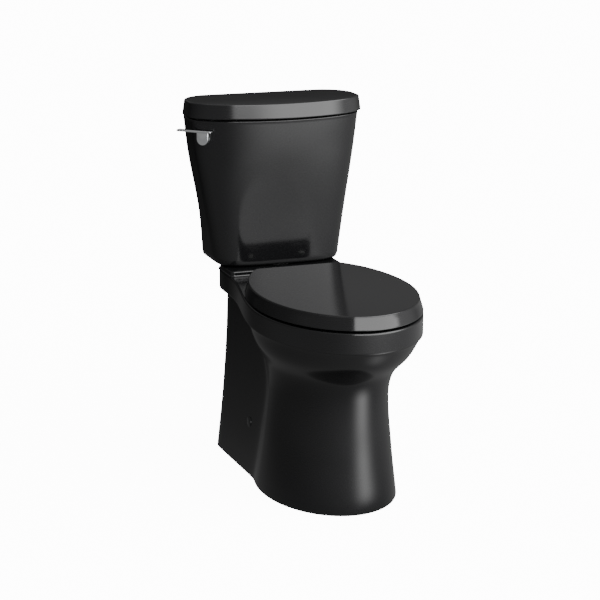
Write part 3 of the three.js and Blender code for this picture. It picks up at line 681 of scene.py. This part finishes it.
def lidOutline(grow=0.0):
    # growing leaves the back against the wall; shrinking pulls it in as well
    out = max(grow, 0.0)
    return bowOutline(tankLid["half"] + out, tankLid["front"] - out, tankLid["side"], 2.0,
                      tankLid["corner"], max(-grow, 0.0))


def makeTankLid():
    low, high = tankLid["bottom"], tankLid["top"]
    edge, under = tankLid["edge"], tankLid["underEdge"]
    centre = np.array([tank["middle"]], float)

    def lean(z):
        return tankLid["lean"] * (high - 3 - z) / (high - 3 - low)

    rings = [[(*tank["middle"], high - tankLid["plate"])]]
    ceiling = lidOutline(-tankLid["wall"] - 4)
    rings += [flat(between(centre, ceiling, s), high - tankLid["plate"]) for s in (0.5, 0.97, 1.0)]
    rings.append(flat(lidOutline(-tankLid["wall"]), high - tankLid["plate"] - 4))
    rings.append(flat(lidOutline(-tankLid["wall"]), low + 1.5))
    rings.append(flat(lidOutline(-tankLid["wall"] + 1.5), low))
    rings.append(flat(lidOutline(lean(low) - under - 1), low))
    for share, lift in reversed(roundedEdge(3)):
        z = low + under * (1 - lift)
        rings.append(flat(lidOutline(lean(z) - under * share), z))
    rings += [flat(lidOutline(lean(z)), z) for z in np.linspace(low + 3, high - edge - 1.0, 6)]
    rings.append(flat(lidOutline(lean(high - edge - 0.4)), high - edge - 0.4))
    for share, lift in roundedEdge(6):
        z = high - edge * (1 - lift)
        rings.append(flat(lidOutline(max(lean(z), 0) - edge * share), z - tankLid["crown"]))
    rings.append(flat(lidOutline(-edge - 1.0), high - tankLid["crown"] + 0.02))
    last = lidOutline(-edge)
    for s in (0.08, 0.2, 0.4, 0.6, 0.8):
        rings.append(flat(between(last, centre, s), high - tankLid["crown"] * (1 - s) ** 2))
    rings.append([(*tank["middle"], high)])
    return addPiece("tankLidShell", meshFrom([skin(rings)]), "tank_lid", "glazed_china", ["tank_lid"])


# seat
seat = {"half": 166.0, "over": 8.5, "straight": 105.0, "backHalf": 106.0, "bottom": 422.8, "top": 451.0,
        "plate": 5.0, "wall": 4.5, "edge": 2.2, "crown": 0.9, "hingeY": 113.0, "hingeZ": 437.0,
        "middle": (0, -100)}
seatRing = {"bottom": 422.0, "top": 440.0, "clear": 7.5, "rear": 97.0,
            "hole": (106, -113, -293, 32), "edge": 5.0}


def seatCurve(grow, back):
    half = seat["half"] + grow
    reach = bowl["rimCentre"] - bowl["front"] - seat["over"] + grow
    narrow = seat["backHalf"] + grow - seat["over"]
    u = np.linspace(-math.pi / 2, 0, 700)
    front = np.column_stack([half * np.cos(u), bowl["rimCentre"] + reach * np.sin(u)])
    y = np.linspace(bowl["rimCentre"], back, 500)[1:]
    fall = ((y - bowl["rimCentre"]) / (seat["straight"] - bowl["rimCentre"])) ** 2
    side = np.column_stack([half * np.sqrt(1 - fall * (1 - (narrow / half) ** 2)), y])
    return np.vstack([front, side])


def seatOutline(grow, back, corner=6.0, count=110):
    # round in front, drawn in behind, with a straight back and small rear corners
    curve = seatCurve(grow, back - corner)
    side = resample(curve, count, closed=False)
    end = side[-1]
    lean = side[-1] - side[-2]
    lean = lean / np.linalg.norm(lean)
    tip = end + lean * corner / max(lean[1], 1e-6)
    t = np.linspace(0, 1, 8)[1:, None]
    inner = np.array([tip[0] - corner, back])
    turn = (1 - t) ** 2 * end + 2 * t * (1 - t) * tip + t ** 2 * inner
    across = np.linspace(1, 0, 14)[1:-1, None] * [inner[0], 0] + [0, back]
    right = np.vstack([side, turn, across])
    return np.vstack([right, [[0, back]], (right * [-1, 1])[:0:-1]])


def hingeBarrel(x0, x1, radius, web):
    # a rounded lug on the hinge line with a web that runs to the plate
    y, z = seat["hingeY"], seat["hingeZ"]
    rings = [[(x0, y, z)]]
    for x, r in ((x0, radius - 1), (x0 + 0.3, radius - 0.3), (x0 + 1, radius), (x1 - 1, radius),
                 (x1 - 0.3, radius - 0.3), (x1, radius - 1)):
        ring = circle(y, z, r, 40)
        rings.append(np.column_stack([np.full(len(ring), x), ring]))
    rings.append([(x1, y, z)])
    y0, y1, z0, z1 = web
    corners = [(y0, z0), (y1, z0), (y1, z1), (y0, z1)]
    points = toMetres([(x, a, b) for x in (x0 + 0.4, x1 - 0.4) for a, b in corners])
    faces = [(0, 1, 2, 3), (7, 6, 5, 4), (0, 4, 5, 1), (1, 5, 6, 2), (2, 6, 7, 3), (3, 7, 4, 0)]
    return [skin(rings), (points, faces)]


def makeSeatLid():
    low, high, back = seat["bottom"], seat["top"], seat["straight"]
    edge, wall = seat["edge"], seat["wall"]

    def lean(z):
        # how far the skirt stands out at each height
        return np.interp(z, [low, high - 6, high], [seat["over"], 1.5, 0.2])

    def ring(grow, z, lift=0.0):
        outline = seatOutline(grow, back)
        rise = smooth(back - 26, back - 10, outline[:, 1])
        floor = low + 22.0 * rise
        share = (z - low) / (high - low)
        heights = floor + (high - floor) * share
        return np.column_stack([outline, heights + lift])

    centre = np.array([(*seat["middle"], high - seat["plate"])], float)
    roof = flat(seatOutline(-wall - 4, back - 4), high - seat["plate"])
    rings = [centre] + [between(centre, roof, s) for s in (0.5, 0.97, 1.0)]
    rings.append(flat(seatOutline(-wall - 0.5, back - 3.6), high - seat["plate"] - 3))
    for z in (high - 9, high - 16, low + 2.0):
        grown = lean(z) - wall
        outline = seatOutline(grown, back - 3.4)
        rise = smooth(back - 28, back - 12, outline[:, 1])
        rings.append(np.column_stack([outline, between(z, np.maximum(z, high - 6.5), rise)]))
    rings.append(ring(lean(low) - wall + 0.6, low + 0.4))
    rings.append(ring(lean(low) - wall + 1.6, low))
    rings.append(ring(lean(low) - 1.2, low))
    rings.append(ring(lean(low) - 0.35, low + 0.35))
    rings += [ring(lean(z), z) for z in (low + 1.2, low + 3)]
    rings += [ring(lean(z), z) for z in np.linspace(low + 6, high - edge - 2, 6)]
    rings.append(ring(lean(high - edge), high - edge - 0.3))
    for share, lift in roundedEdge(6):
        outline = seatOutline(lean(high) - edge * share, back - edge * share)
        rings.append(flat(outline, high - edge * (1 - lift)))
    rings.append(flat(seatOutline(-edge - 0.7, back - edge - 0.7), high + 0.01))
    last = flat(seatOutline(-edge, back - edge), high)
    top = np.array([(*seat["middle"], high)], float)
    for s in (0.06, 0.15, 0.3, 0.5, 0.75):
        inner = between(last, top, s)
        inner[:, 2] = high + seat["crown"] * (1 - (1 - s) ** 2)
        rings.append(inner)
    rings.append([(*seat["middle"], high + seat["crown"])])
    parts = [skin(rings)]
    for side in (-1, 1):
        x0, x1 = sorted((side * 82.6, side * 94))
        parts += hingeBarrel(x0, x1, 7.0, (97, 112, 440.0, 446.5))
    return addPiece("seatLidShell", meshFrom(parts), "seat_lid", "seat_plastic", ["seat_lid"])


def makeSeatRing():
    low, high, back, edge = seatRing["bottom"], seatRing["top"], seatRing["rear"], seatRing["edge"]
    base = seat["over"] - seatRing["clear"]
    outer = seatOutline(base, back)
    angles = np.arctan2(outer[:, 1] - bowl["rimCentre"], outer[:, 0])

    def hole(grow):
        return egg(angles, seatRing["hole"], -grow)

    rings = []
    for share, lift in reversed(roundedEdge(3)):
        rings.append(flat(seatOutline(base - 3 * share, back - 3 * share), low + 3 * (1 - lift)))
    rings.append(flat(seatOutline(base - 0.4, back), high - edge - 2))
    for share, lift in roundedEdge(6):
        rings.append(flat(seatOutline(base - 1 - edge * 1.4 * share, back - edge * share),
                          high - edge * (1 - lift)))
    inner, rim = flat(hole(12), high - 0.6), rings[-1]
    for s in (0.05, 0.3, 0.6, 0.9, 1.0):
        crest = between(rim, inner, s)
        crest[:, 2] += 0.9 * math.sin(math.pi * s)
        rings.append(crest)
    for share, lift in reversed(roundedEdge(6)):
        rings.append(flat(hole(10 * share), high - 0.6 - 9 * (1 - lift)))
    rings.append(flat(hole(0.6), low + 4))
    for share, lift in roundedEdge(3):
        rings.append(flat(hole(0.6 + 3 * share), low + 3 - 3 * lift))
    parts = [tubeSkin(rings)]
    for side in (-1, 1):
        x0, x1 = sorted((side * 44, side * 57.4))
        parts += hingeBarrel(x0, x1, 7.0, (88, 112, 431.0, 438.5))
    return addPiece("seatRingShell", meshFrom(parts), "seat_ring", "seat_plastic", ["seat_ring"])


# trip lever
lever = {"origin": (-173.71, 230.19, 722.0), "hubRadius": 14.0, "hubTop": 15.0,
         "hub": (3.6, 12.0), "blade": (4.4, 17.0), "bladeRun": (-23.0, 61.5), "bladeBand": (14.0, 19.0)}


def leverPoint(along, up, out):
    # a point in the lever's own directions: along the blade, up, and out from the tank's wall
    turn = math.sqrt(0.5)
    return (lever["origin"][0] - turn * along - turn * out,
            lever["origin"][1] + turn * along - turn * out,
            lever["origin"][2] + up)


def slab(outline, low, high, bevel):
    # a plate with a rounded edge, drawn in (along, up) and standing from low to high off the wall
    outline = np.asarray(outline, float)
    following, before = np.roll(outline, -1, 0), np.roll(outline, 1, 0)
    ahead = following - outline
    behind = outline - before
    ahead /= np.linalg.norm(ahead, axis=1)[:, None]
    behind /= np.linalg.norm(behind, axis=1)[:, None]
    normal = np.column_stack([ahead[:, 1] + behind[:, 1], -ahead[:, 0] - behind[:, 0]])
    normal /= np.linalg.norm(normal, axis=1)[:, None]
    middle = outline.mean(0)
    rings = [[leverPoint(*middle, low)]]
    profile = [(bevel * (1 - math.cos(t)), low + bevel * (1 - math.sin(t)))
               for t in np.linspace(math.pi / 2, 0, 4)]
    profile += [(inset, high + low - z) for inset, z in reversed(profile)]
    for inset, z in profile:
        rings.append([leverPoint(*p, z) for p in outline - normal * inset])
    rings.append([leverPoint(*middle, high)])
    points = np.concatenate([toMetres(ring) for ring in rings])
    return points, skinFaces([len(ring) for ring in rings])


def capsule(x0, x1, y0, y1, rounding, count=8):
    corners = [(x1 - rounding, y0 + rounding, -90), (x1 - rounding, y1 - rounding, 0),
               (x0 + rounding, y1 - rounding, 90), (x0 + rounding, y0 + rounding, 180)]
    points = []
    for x, y, start in corners:
        for t in np.radians(np.linspace(start, start + 90, count)):
            points.append((x + rounding * math.cos(t), y + rounding * math.sin(t)))
    return points


def makeLever():
    radius = lever["hubRadius"]
    around = np.linspace(math.pi, 2 * math.pi, 25)
    hub = [(radius * math.cos(t), radius * math.sin(t)) for t in around]
    hub += [(radius, lever["hubTop"] - 0.8), (radius - 0.8, lever["hubTop"])]
    hub += [(-radius + 0.8, lever["hubTop"]), (-radius, lever["hubTop"] - 0.8)]
    x0, x1 = lever["bladeRun"]
    y0, y1 = lever["bladeBand"]
    parts = [slab(hub, *lever["hub"], 1.2), slab(capsule(x0, x1, y0, y1, 2.3), *lever["blade"], 1.2)]
    return addPiece("leverHandle", meshFrom(parts), "trip_lever", "chrome", ["trip_lever"])


# caps over the floor bolts
sideCap = {"y": 80.0, "z": 110.0, "seat": 121.5, "radius": 13.5, "proud": 5.0}


def makeSideCaps():
    y, z, seatedAt, proud = (sideCap[key] for key in ("y", "z", "seat", "proud"))
    profile = [(-6, 0.8), (-6, 0.99), (0, 1.0), (proud * 0.55, 1.0)]  # (how far out, share of the radius)
    profile += [(proud * (0.55 + 0.3 * math.sin(t)), 0.9 + 0.1 * math.cos(t))
                for t in np.linspace(0.2, math.pi / 2, 5)]
    profile += [(proud * (0.85 + 0.15 * (1 - s * s)), s) for s in (0.85, 0.6, 0.3)]
    for side, end in ((-1, "left"), (1, "right")):
        rings = [[(side * (seatedAt - 6), y, z)]]
        for out, share in profile:
            ring = circle(y, z, sideCap["radius"] * share, 64)
            rings.append(np.column_stack([np.full(len(ring), side * (seatedAt + out)), ring]))
        rings.append([(side * (seatedAt + proud), y, z)])
        addPiece("boltCap_" + end, meshFrom([skin(rings)]), "china", "glazed_china", ["side_cap_" + end])


# what repeats or follows a path
def makeTree(name, numbers):
    # a Geometry Nodes tree; its inputs are one geometry, named numbers and a finish
    tree = bpy.data.node_groups.new(name, "GeometryNodeTree")
    tree.interface.new_socket("Geometry", in_out="INPUT", socket_type="NodeSocketGeometry")
    for label, value in numbers.items():
        kind = "NodeSocketInt" if isinstance(value, int) else "NodeSocketFloat"
        tree.interface.new_socket(label, in_out="INPUT", socket_type=kind).default_value = value
    tree.interface.new_socket("Finish", in_out="INPUT", socket_type="NodeSocketMaterial")
    tree.interface.new_socket("Geometry", in_out="OUTPUT", socket_type="NodeSocketGeometry")
    entry = tree.nodes.new("NodeGroupInput")
    return tree, {socket.name: Wire(tree, socket) for socket in entry.outputs if socket.name}


def closeTree(tree, shapes, finish):
    join = tree.nodes.new("GeometryNodeJoinGeometry")
    for shape in shapes:
        tree.links.new(shape.socket, join.inputs[0])
    whole = Wire(tree, join.outputs[0])
    whole = whole.node("GeometryNodeRealizeInstances", None, {0: whole})
    whole = whole.node("GeometryNodeSetMaterial", None, {"Geometry": whole, "Material": finish})
    tree.links.new(whole.socket, tree.nodes.new("NodeGroupOutput").inputs[0])


def grown(tree, start, numbers, slot):
    # what the tree makes from a starting mesh, as a plain mesh
    host = bpy.data.objects.new("host", start)
    bpy.context.scene.collection.objects.link(host)
    modifier = host.modifiers.new("nodes", "NODES")
    modifier.node_group = tree
    values = dict(numbers, Finish=finishes[slot])
    for item in tree.interface.items_tree:
        if item.in_out == "INPUT" and item.name in values:
            modifier[item.identifier] = values[item.name]
    mesh = bpy.data.meshes.new_from_object(host.evaluated_get(bpy.context.evaluated_depsgraph_get()))
    host.modifiers.remove(modifier)
    bpy.data.objects.remove(host)
    return mesh


def pathMesh(points):
    mesh = bpy.data.meshes.new("path")
    mesh.from_pydata([tuple(p) for p in toMetres(points)], [(i, i + 1) for i in range(len(points) - 1)], [])
    return mesh


def gathered(meshes):
    build = bmesh.new()
    for mesh in meshes:
        build.from_mesh(mesh)
    whole = bpy.data.meshes.new("mesh")
    build.to_mesh(whole)
    build.free()
    return whole


def hoseTree():
    # a round section along a curve through the starting points, with an optional bead at every step
    tree, given = makeTree("sectionAlongPath", {"Radius": 0.001, "Step": 0.002, "Bead Radius": 0.0,
                                                "Bead Step": 0.01})
    path = given["Geometry"].node("GeometryNodeMeshToCurve", None, {"Mesh": given["Geometry"]})
    path = path.node("GeometryNodeCurveSplineType", {"spline_type": "CATMULL_ROM"}, {"Curve": path})
    fine = path.node("GeometryNodeResampleCurve", {"mode": "LENGTH"},
                     {"Curve": path, "Length": given["Step"]})
    section = path.node("GeometryNodeCurvePrimitiveCircle", None, {"Radius": given["Radius"],
                                                                   "Resolution": 20})
    tube = path.node("GeometryNodeCurveToMesh", None, {"Curve": fine, "Profile Curve": section,
                                                       "Fill Caps": True})
    places = path.node("GeometryNodeCurveToPoints", {"mode": "LENGTH"},
                       {"Curve": path, "Length": given["Bead Step"]})
    bead = path.node("GeometryNodeMeshUVSphere", None, {"Segments": 16, "Rings": 10,
                                                        "Radius": given["Bead Radius"]})
    wanted = given["Bead Radius"].calc("GREATER_THAN", given["Bead Radius"], 0.0)
    beads = path.node("GeometryNodeInstanceOnPoints", None,
                      {"Points": places, "Instance": bead, "Selection": wanted})
    closeTree(tree, [tube, beads], given["Finish"])
    return tree


def threadTree():
    # a rod whose radius goes to and fro from crest to root, standing on the starting point
    tree, given = makeTree("threadedRod", {"Crest": 0.004, "Root": 0.0034, "Half Pitch": 0.0007,
                                           "Count": 20})
    up = given["Geometry"].node("ShaderNodeCombineXYZ", None, {2: given["Half Pitch"]})
    line = up.node("GeometryNodeMeshLine", {"mode": "OFFSET"}, {"Count": given["Count"], "Offset": up})
    path = line.node("GeometryNodeMeshToCurve", None, {"Mesh": line})
    odd = line.node("GeometryNodeInputIndex").calc("MODULO", line.node("GeometryNodeInputIndex"), 2.0)
    radius = given["Root"] + odd * (given["Crest"] - given["Root"])
    section = path.node("GeometryNodeCurvePrimitiveCircle", None, {"Radius": 1.0, "Resolution": 32})
    rod = path.node("GeometryNodeCurveToMesh", None, {"Curve": path, "Profile Curve": section,
                                                      "Scale": radius, "Fill Caps": True})
    stand = rod.node("GeometryNodeInstanceOnPoints", None, {"Points": given["Geometry"], "Instance": rod})
    closeTree(tree, [stand], given["Finish"])
    return tree


def ribTree():
    # upright ribs in a ring about the starting point
    tree, given = makeTree("ribRing", {"Ring Radius": 0.03, "Rib Radius": 0.001, "Rib Height": 0.1,
                                       "Count": 18})
    ring = given["Geometry"].node("GeometryNodeMeshCircle", None, {"Vertices": given["Count"],
                                                                   "Radius": given["Ring Radius"]})
    rib = ring.node("GeometryNodeMeshCylinder", None, {"Vertices": 12, "Radius": given["Rib Radius"],
                                                       "Depth": given["Rib Height"]})
    ribs = ring.node("GeometryNodeInstanceOnPoints", None, {"Points": ring, "Instance": rib})
    stand = ring.node("GeometryNodeInstanceOnPoints", None, {"Points": given["Geometry"], "Instance": ribs})
    closeTree(tree, [stand], given["Finish"])
    return tree


chain = {"x": -28.5, "y": 259.5, "foot": 642.0, "top": 714.5, "wire": 1.0, "bead": 2.4, "step": 5.0,
         "loop": [(-5, 714.5), (-5, 728.5), (3, 729.3), (11.5, 728.5), (11.5, 714.5), (0, 714.4),
                  (-5, 714.5)]}
refill = {"radius": 3.3, "path": [(-88, 296, 686.5), (-87, 296, 700), (-68, 297, 722), (-34, 294, 734),
                                  (-6, 289, 724), (0, 286, 710), (0, 286, 699.5)]}
thread = {"low": 352.0, "crest": 4.0, "root": 3.4, "halfPitch": 0.7, "count": 138,
          "headLow": 448.6, "headHigh": 453.9, "headRadius": 8.4}
ribs = {"middle": 545.0, "height": 120.0, "ring": 30.0, "radius": 0.9, "count": 20}


def makeFittings():
    hose, rod, ring = hoseTree(), threadTree(), ribTree()
    x, y = chain["x"], chain["y"]
    beaded = {"Radius": chain["wire"] / 1000, "Bead Radius": chain["bead"] / 1000,
              "Bead Step": chain["step"] / 1000}
    links = [grown(hose, pathMesh([(x, y, chain["foot"]), (x, y, chain["top"])]), beaded, "chrome")]
    links.append(grown(hose, pathMesh([(x, y + dy, z) for dy, z in chain["loop"]]),
                       {"Radius": chain["wire"] / 1000, "Step": 0.001}, "chrome"))
    addPiece("liftChain", gathered(links), "flush_canister", "chrome", ["lift_chain"])
    tube = grown(hose, pathMesh(refill["path"]), {"Radius": refill["radius"] / 1000}, "hose")
    addPiece("refillTube", tube, "china", "hose", ["refill_tube"])
    for side, end in ((-1, "left"), (1, "right")):
        at = (side * fixing["tankBolt"][0], fixing["tankBolt"][1])
        sizes = {"Crest": thread["crest"] / 1000, "Root": thread["root"] / 1000,
                 "Half Pitch": thread["halfPitch"] / 1000, "Count": thread["count"]}
        bolt = grown(rod, pathMesh([(*at, thread["low"])]), sizes, "brass")
        low, high, wide = (thread[key] for key in ("headLow", "headHigh", "headRadius"))
        rings = [[(*at, low)]]
        for share, z in ((0.93, low), (1.0, low + 0.6), (1.0, high - 1.8), (0.94, high - 0.7), (0.7, high)):
            rings.append(flat(circle(*at, wide * share), z))
        rings.append([(*at, high)])
        addPiece("tankBolt_" + end, gathered([bolt, meshFrom([skin(rings)])]), "china", "brass",
                 ["tank_bolt_" + end])
    sizes = {"Ring Radius": ribs["ring"] / 1000, "Rib Radius": ribs["radius"] / 1000,
             "Rib Height": ribs["height"] / 1000, "Count": ribs["count"]}
    wall = grown(ring, pathMesh([(*fixing["flush"], ribs["middle"])]), sizes, "coloured_plastic")
    addPiece("canisterRibs", wall, "flush_canister", "coloured_plastic", [])


makeCamera()
makeBowl()
print("bowl made")
makeTank()
makeTankLid()
print("tank and lid made")
makeSeatLid()
makeSeatRing()
makeLever()
makeSideCaps()
print("seat, lever and caps made")
makeFittings()
print("chain, tube, bolts and ribs made")

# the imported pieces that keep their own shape
for name, node in frame["nodes"].items():
    node.data.materials.clear()
    node.data.materials.append(finishes[slotOf[name]])


# floor and light
def stagePlane(name, height, size):
    bpy.ops.mesh.primitive_plane_add(size=size, location=(0, 0, height))
    plane = bpy.context.object
    plane.name = name
    material = bpy.data.materials.new(name)
    material.use_nodes = True
    plane.data.materials.append(material)
    return plane, material.node_tree


def makeFloor():
    # a pale glowing floor, as on a light table; gloss sees the bounce card below it instead
    floor, tree = stagePlane("studioFloor", 0.0, 40)
    shader = tree.nodes["Principled BSDF"]
    shader.inputs["Base Color"].default_value = rgba(0.9, 0.9, 0.9)
    shader.inputs["Roughness"].default_value = 0.9
    shader.inputs["Specular IOR Level"].default_value = 0.0
    shader.inputs["Emission Color"].default_value = rgba(1, 1, 1)
    shader.inputs["Emission Strength"].default_value = studio["backdrop"]
    floor.visible_glossy = False
    floor.visible_diffuse = False


card = {"dark": 0.02, "base": 0.24, "darkAt": (0.0, 0.3), "darkNear": 0.3, "darkFar": 1.5,
        "sideLeft": (-2.75, -1.2), "sideRight": (1.9, 2.7), "far": 0.20, "farBack": -0.80, "farSide": 0.20,
        "farMost": 5.0, "farLeft": -1.8, "farRight": 1.0, "glow": 3.2, "glowAt": (0.0, -0.25),
        "glowTurn": 0.58, "glowSpread": 0.34, "glowStart": (0.16, 0.40), "glowEnd": (0.6, 1.3)}


def makeCard():
    # the bounce card: brighter toward the light, with a glow in front of the pedestal
    plane, tree = stagePlane("bounceCard", -0.002, 18)
    for flag in ("camera", "diffuse", "shadow", "transmission"):
        setattr(plane, "visible_" + flag, False)
    place = Wire(tree, tree.nodes.new("ShaderNodeTexCoord").outputs["Object"])
    x, y = (place.node("ShaderNodeSeparateXYZ", None, {0: place}, axis) for axis in (0, 1))

    def distance(point):
        across, along = x - point[0], y - point[1]
        return across.calc("SQRT", across * across + along * along)

    def turnAbout(point):
        return x.calc("ARCTAN2", x - point[0], point[1] - y)

    turn = turnAbout(card["darkAt"])
    side = turn.step(*card["sideLeft"]) * (1 - turn.step(*card["sideRight"]))
    away = distance(card["darkAt"]).step(card["darkNear"], card["darkFar"])
    base = card["dark"] + card["base"] * side * away
    far = card["far"] * x.calc("EXPONENT", card["farBack"] * y + card["farSide"] * x)
    far = far.calc("MINIMUM", far, card["farMost"]) * x.step(card["farLeft"], card["farRight"])
    spread = (turnAbout(card["glowAt"]) - card["glowTurn"]) * (1 / card["glowSpread"])
    reach = distance(card["glowAt"])
    glow = card["glow"] * spread.calc("EXPONENT", -1 * (spread * spread))
    glow = glow * reach.step(*card["glowStart"]) * (1 - reach.step(*card["glowEnd"]))
    emission = tree.nodes.new("ShaderNodeEmission")
    tree.links.new((base + far + glow).socket, emission.inputs["Strength"])
    tree.links.new(emission.outputs[0], tree.nodes["Material Output"].inputs["Surface"])


room = {"dark": 0.04, "side": 0.28, "sideLeft": (-2.75, -0.9), "sideRight": (1.75, 2.75),
        "back": 0.14, "backFrom": (0.165, 0.23), "boxLevel": 5.8, "boxLeft": (-0.42, -0.36),
        "boxRight": (0.90, 1.25), "boxLean": 0.32, "leanFrom": (0.12, 0.30), "boxLow": 0.13,
        "boxDrop": 0.18, "dropOver": (-0.17, 0.55), "boxSoft": 0.11, "boxTop": (0.75, 0.95),
        "tail": 1.0, "tailIn": (1.0, 1.2), "tailOut": (1.2, 2.1), "top": 0.9, "topEdge": (0.80, 0.97)}


def makeWorld():
    world = bpy.data.worlds.new("studio")
    bpy.context.scene.world = world
    world.use_nodes = True
    tree = world.node_tree
    background = tree.nodes["Background"]
    background.inputs["Color"].default_value = rgba(1, 1, 1)
    way = Wire(tree, tree.nodes.new("ShaderNodeTexCoord").outputs["Generated"])
    path = Wire(tree, tree.nodes.new("ShaderNodeLightPath").outputs["Is Camera Ray"])
    x, y, z = (way.node("ShaderNodeSeparateXYZ", None, {0: way}, axis) for axis in (0, 1, 2))
    turn = x.calc("ARCTAN2", x, 0 - y)  # 0 in front, growing to the right
    beside = turn.step(*room["sideLeft"]) * (1 - turn.step(*room["sideRight"]))
    side = room["dark"] + room["side"] * beside + room["back"] * z.step(*room["backFrom"]) * (1 - beside)
    low = room["boxLow"] - room["boxDrop"] * turn.step(*room["dropOver"])
    lean = turn - room["boxLean"] * z.step(*room["leanFrom"])
    box = turn.step(*room["boxLeft"]) * (1 - lean.step(*room["boxRight"]))
    box = box * (z - low).step(-room["boxSoft"], room["boxSoft"]) * (1 - z.step(*room["boxTop"]))
    tail = turn.step(*room["tailIn"]) * (1 - turn.step(*room["tailOut"])) * room["tail"]
    top = room["top"] * z.step(*room["topEdge"])
    level = side + room["boxLevel"] * box + tail + top
    seen = level * (1 - path) + studio["backdrop"] * path
    tree.links.new(seen.socket, background.inputs["Strength"])


makeFloor()
makeCard()
makeWorld()
print("studio made")
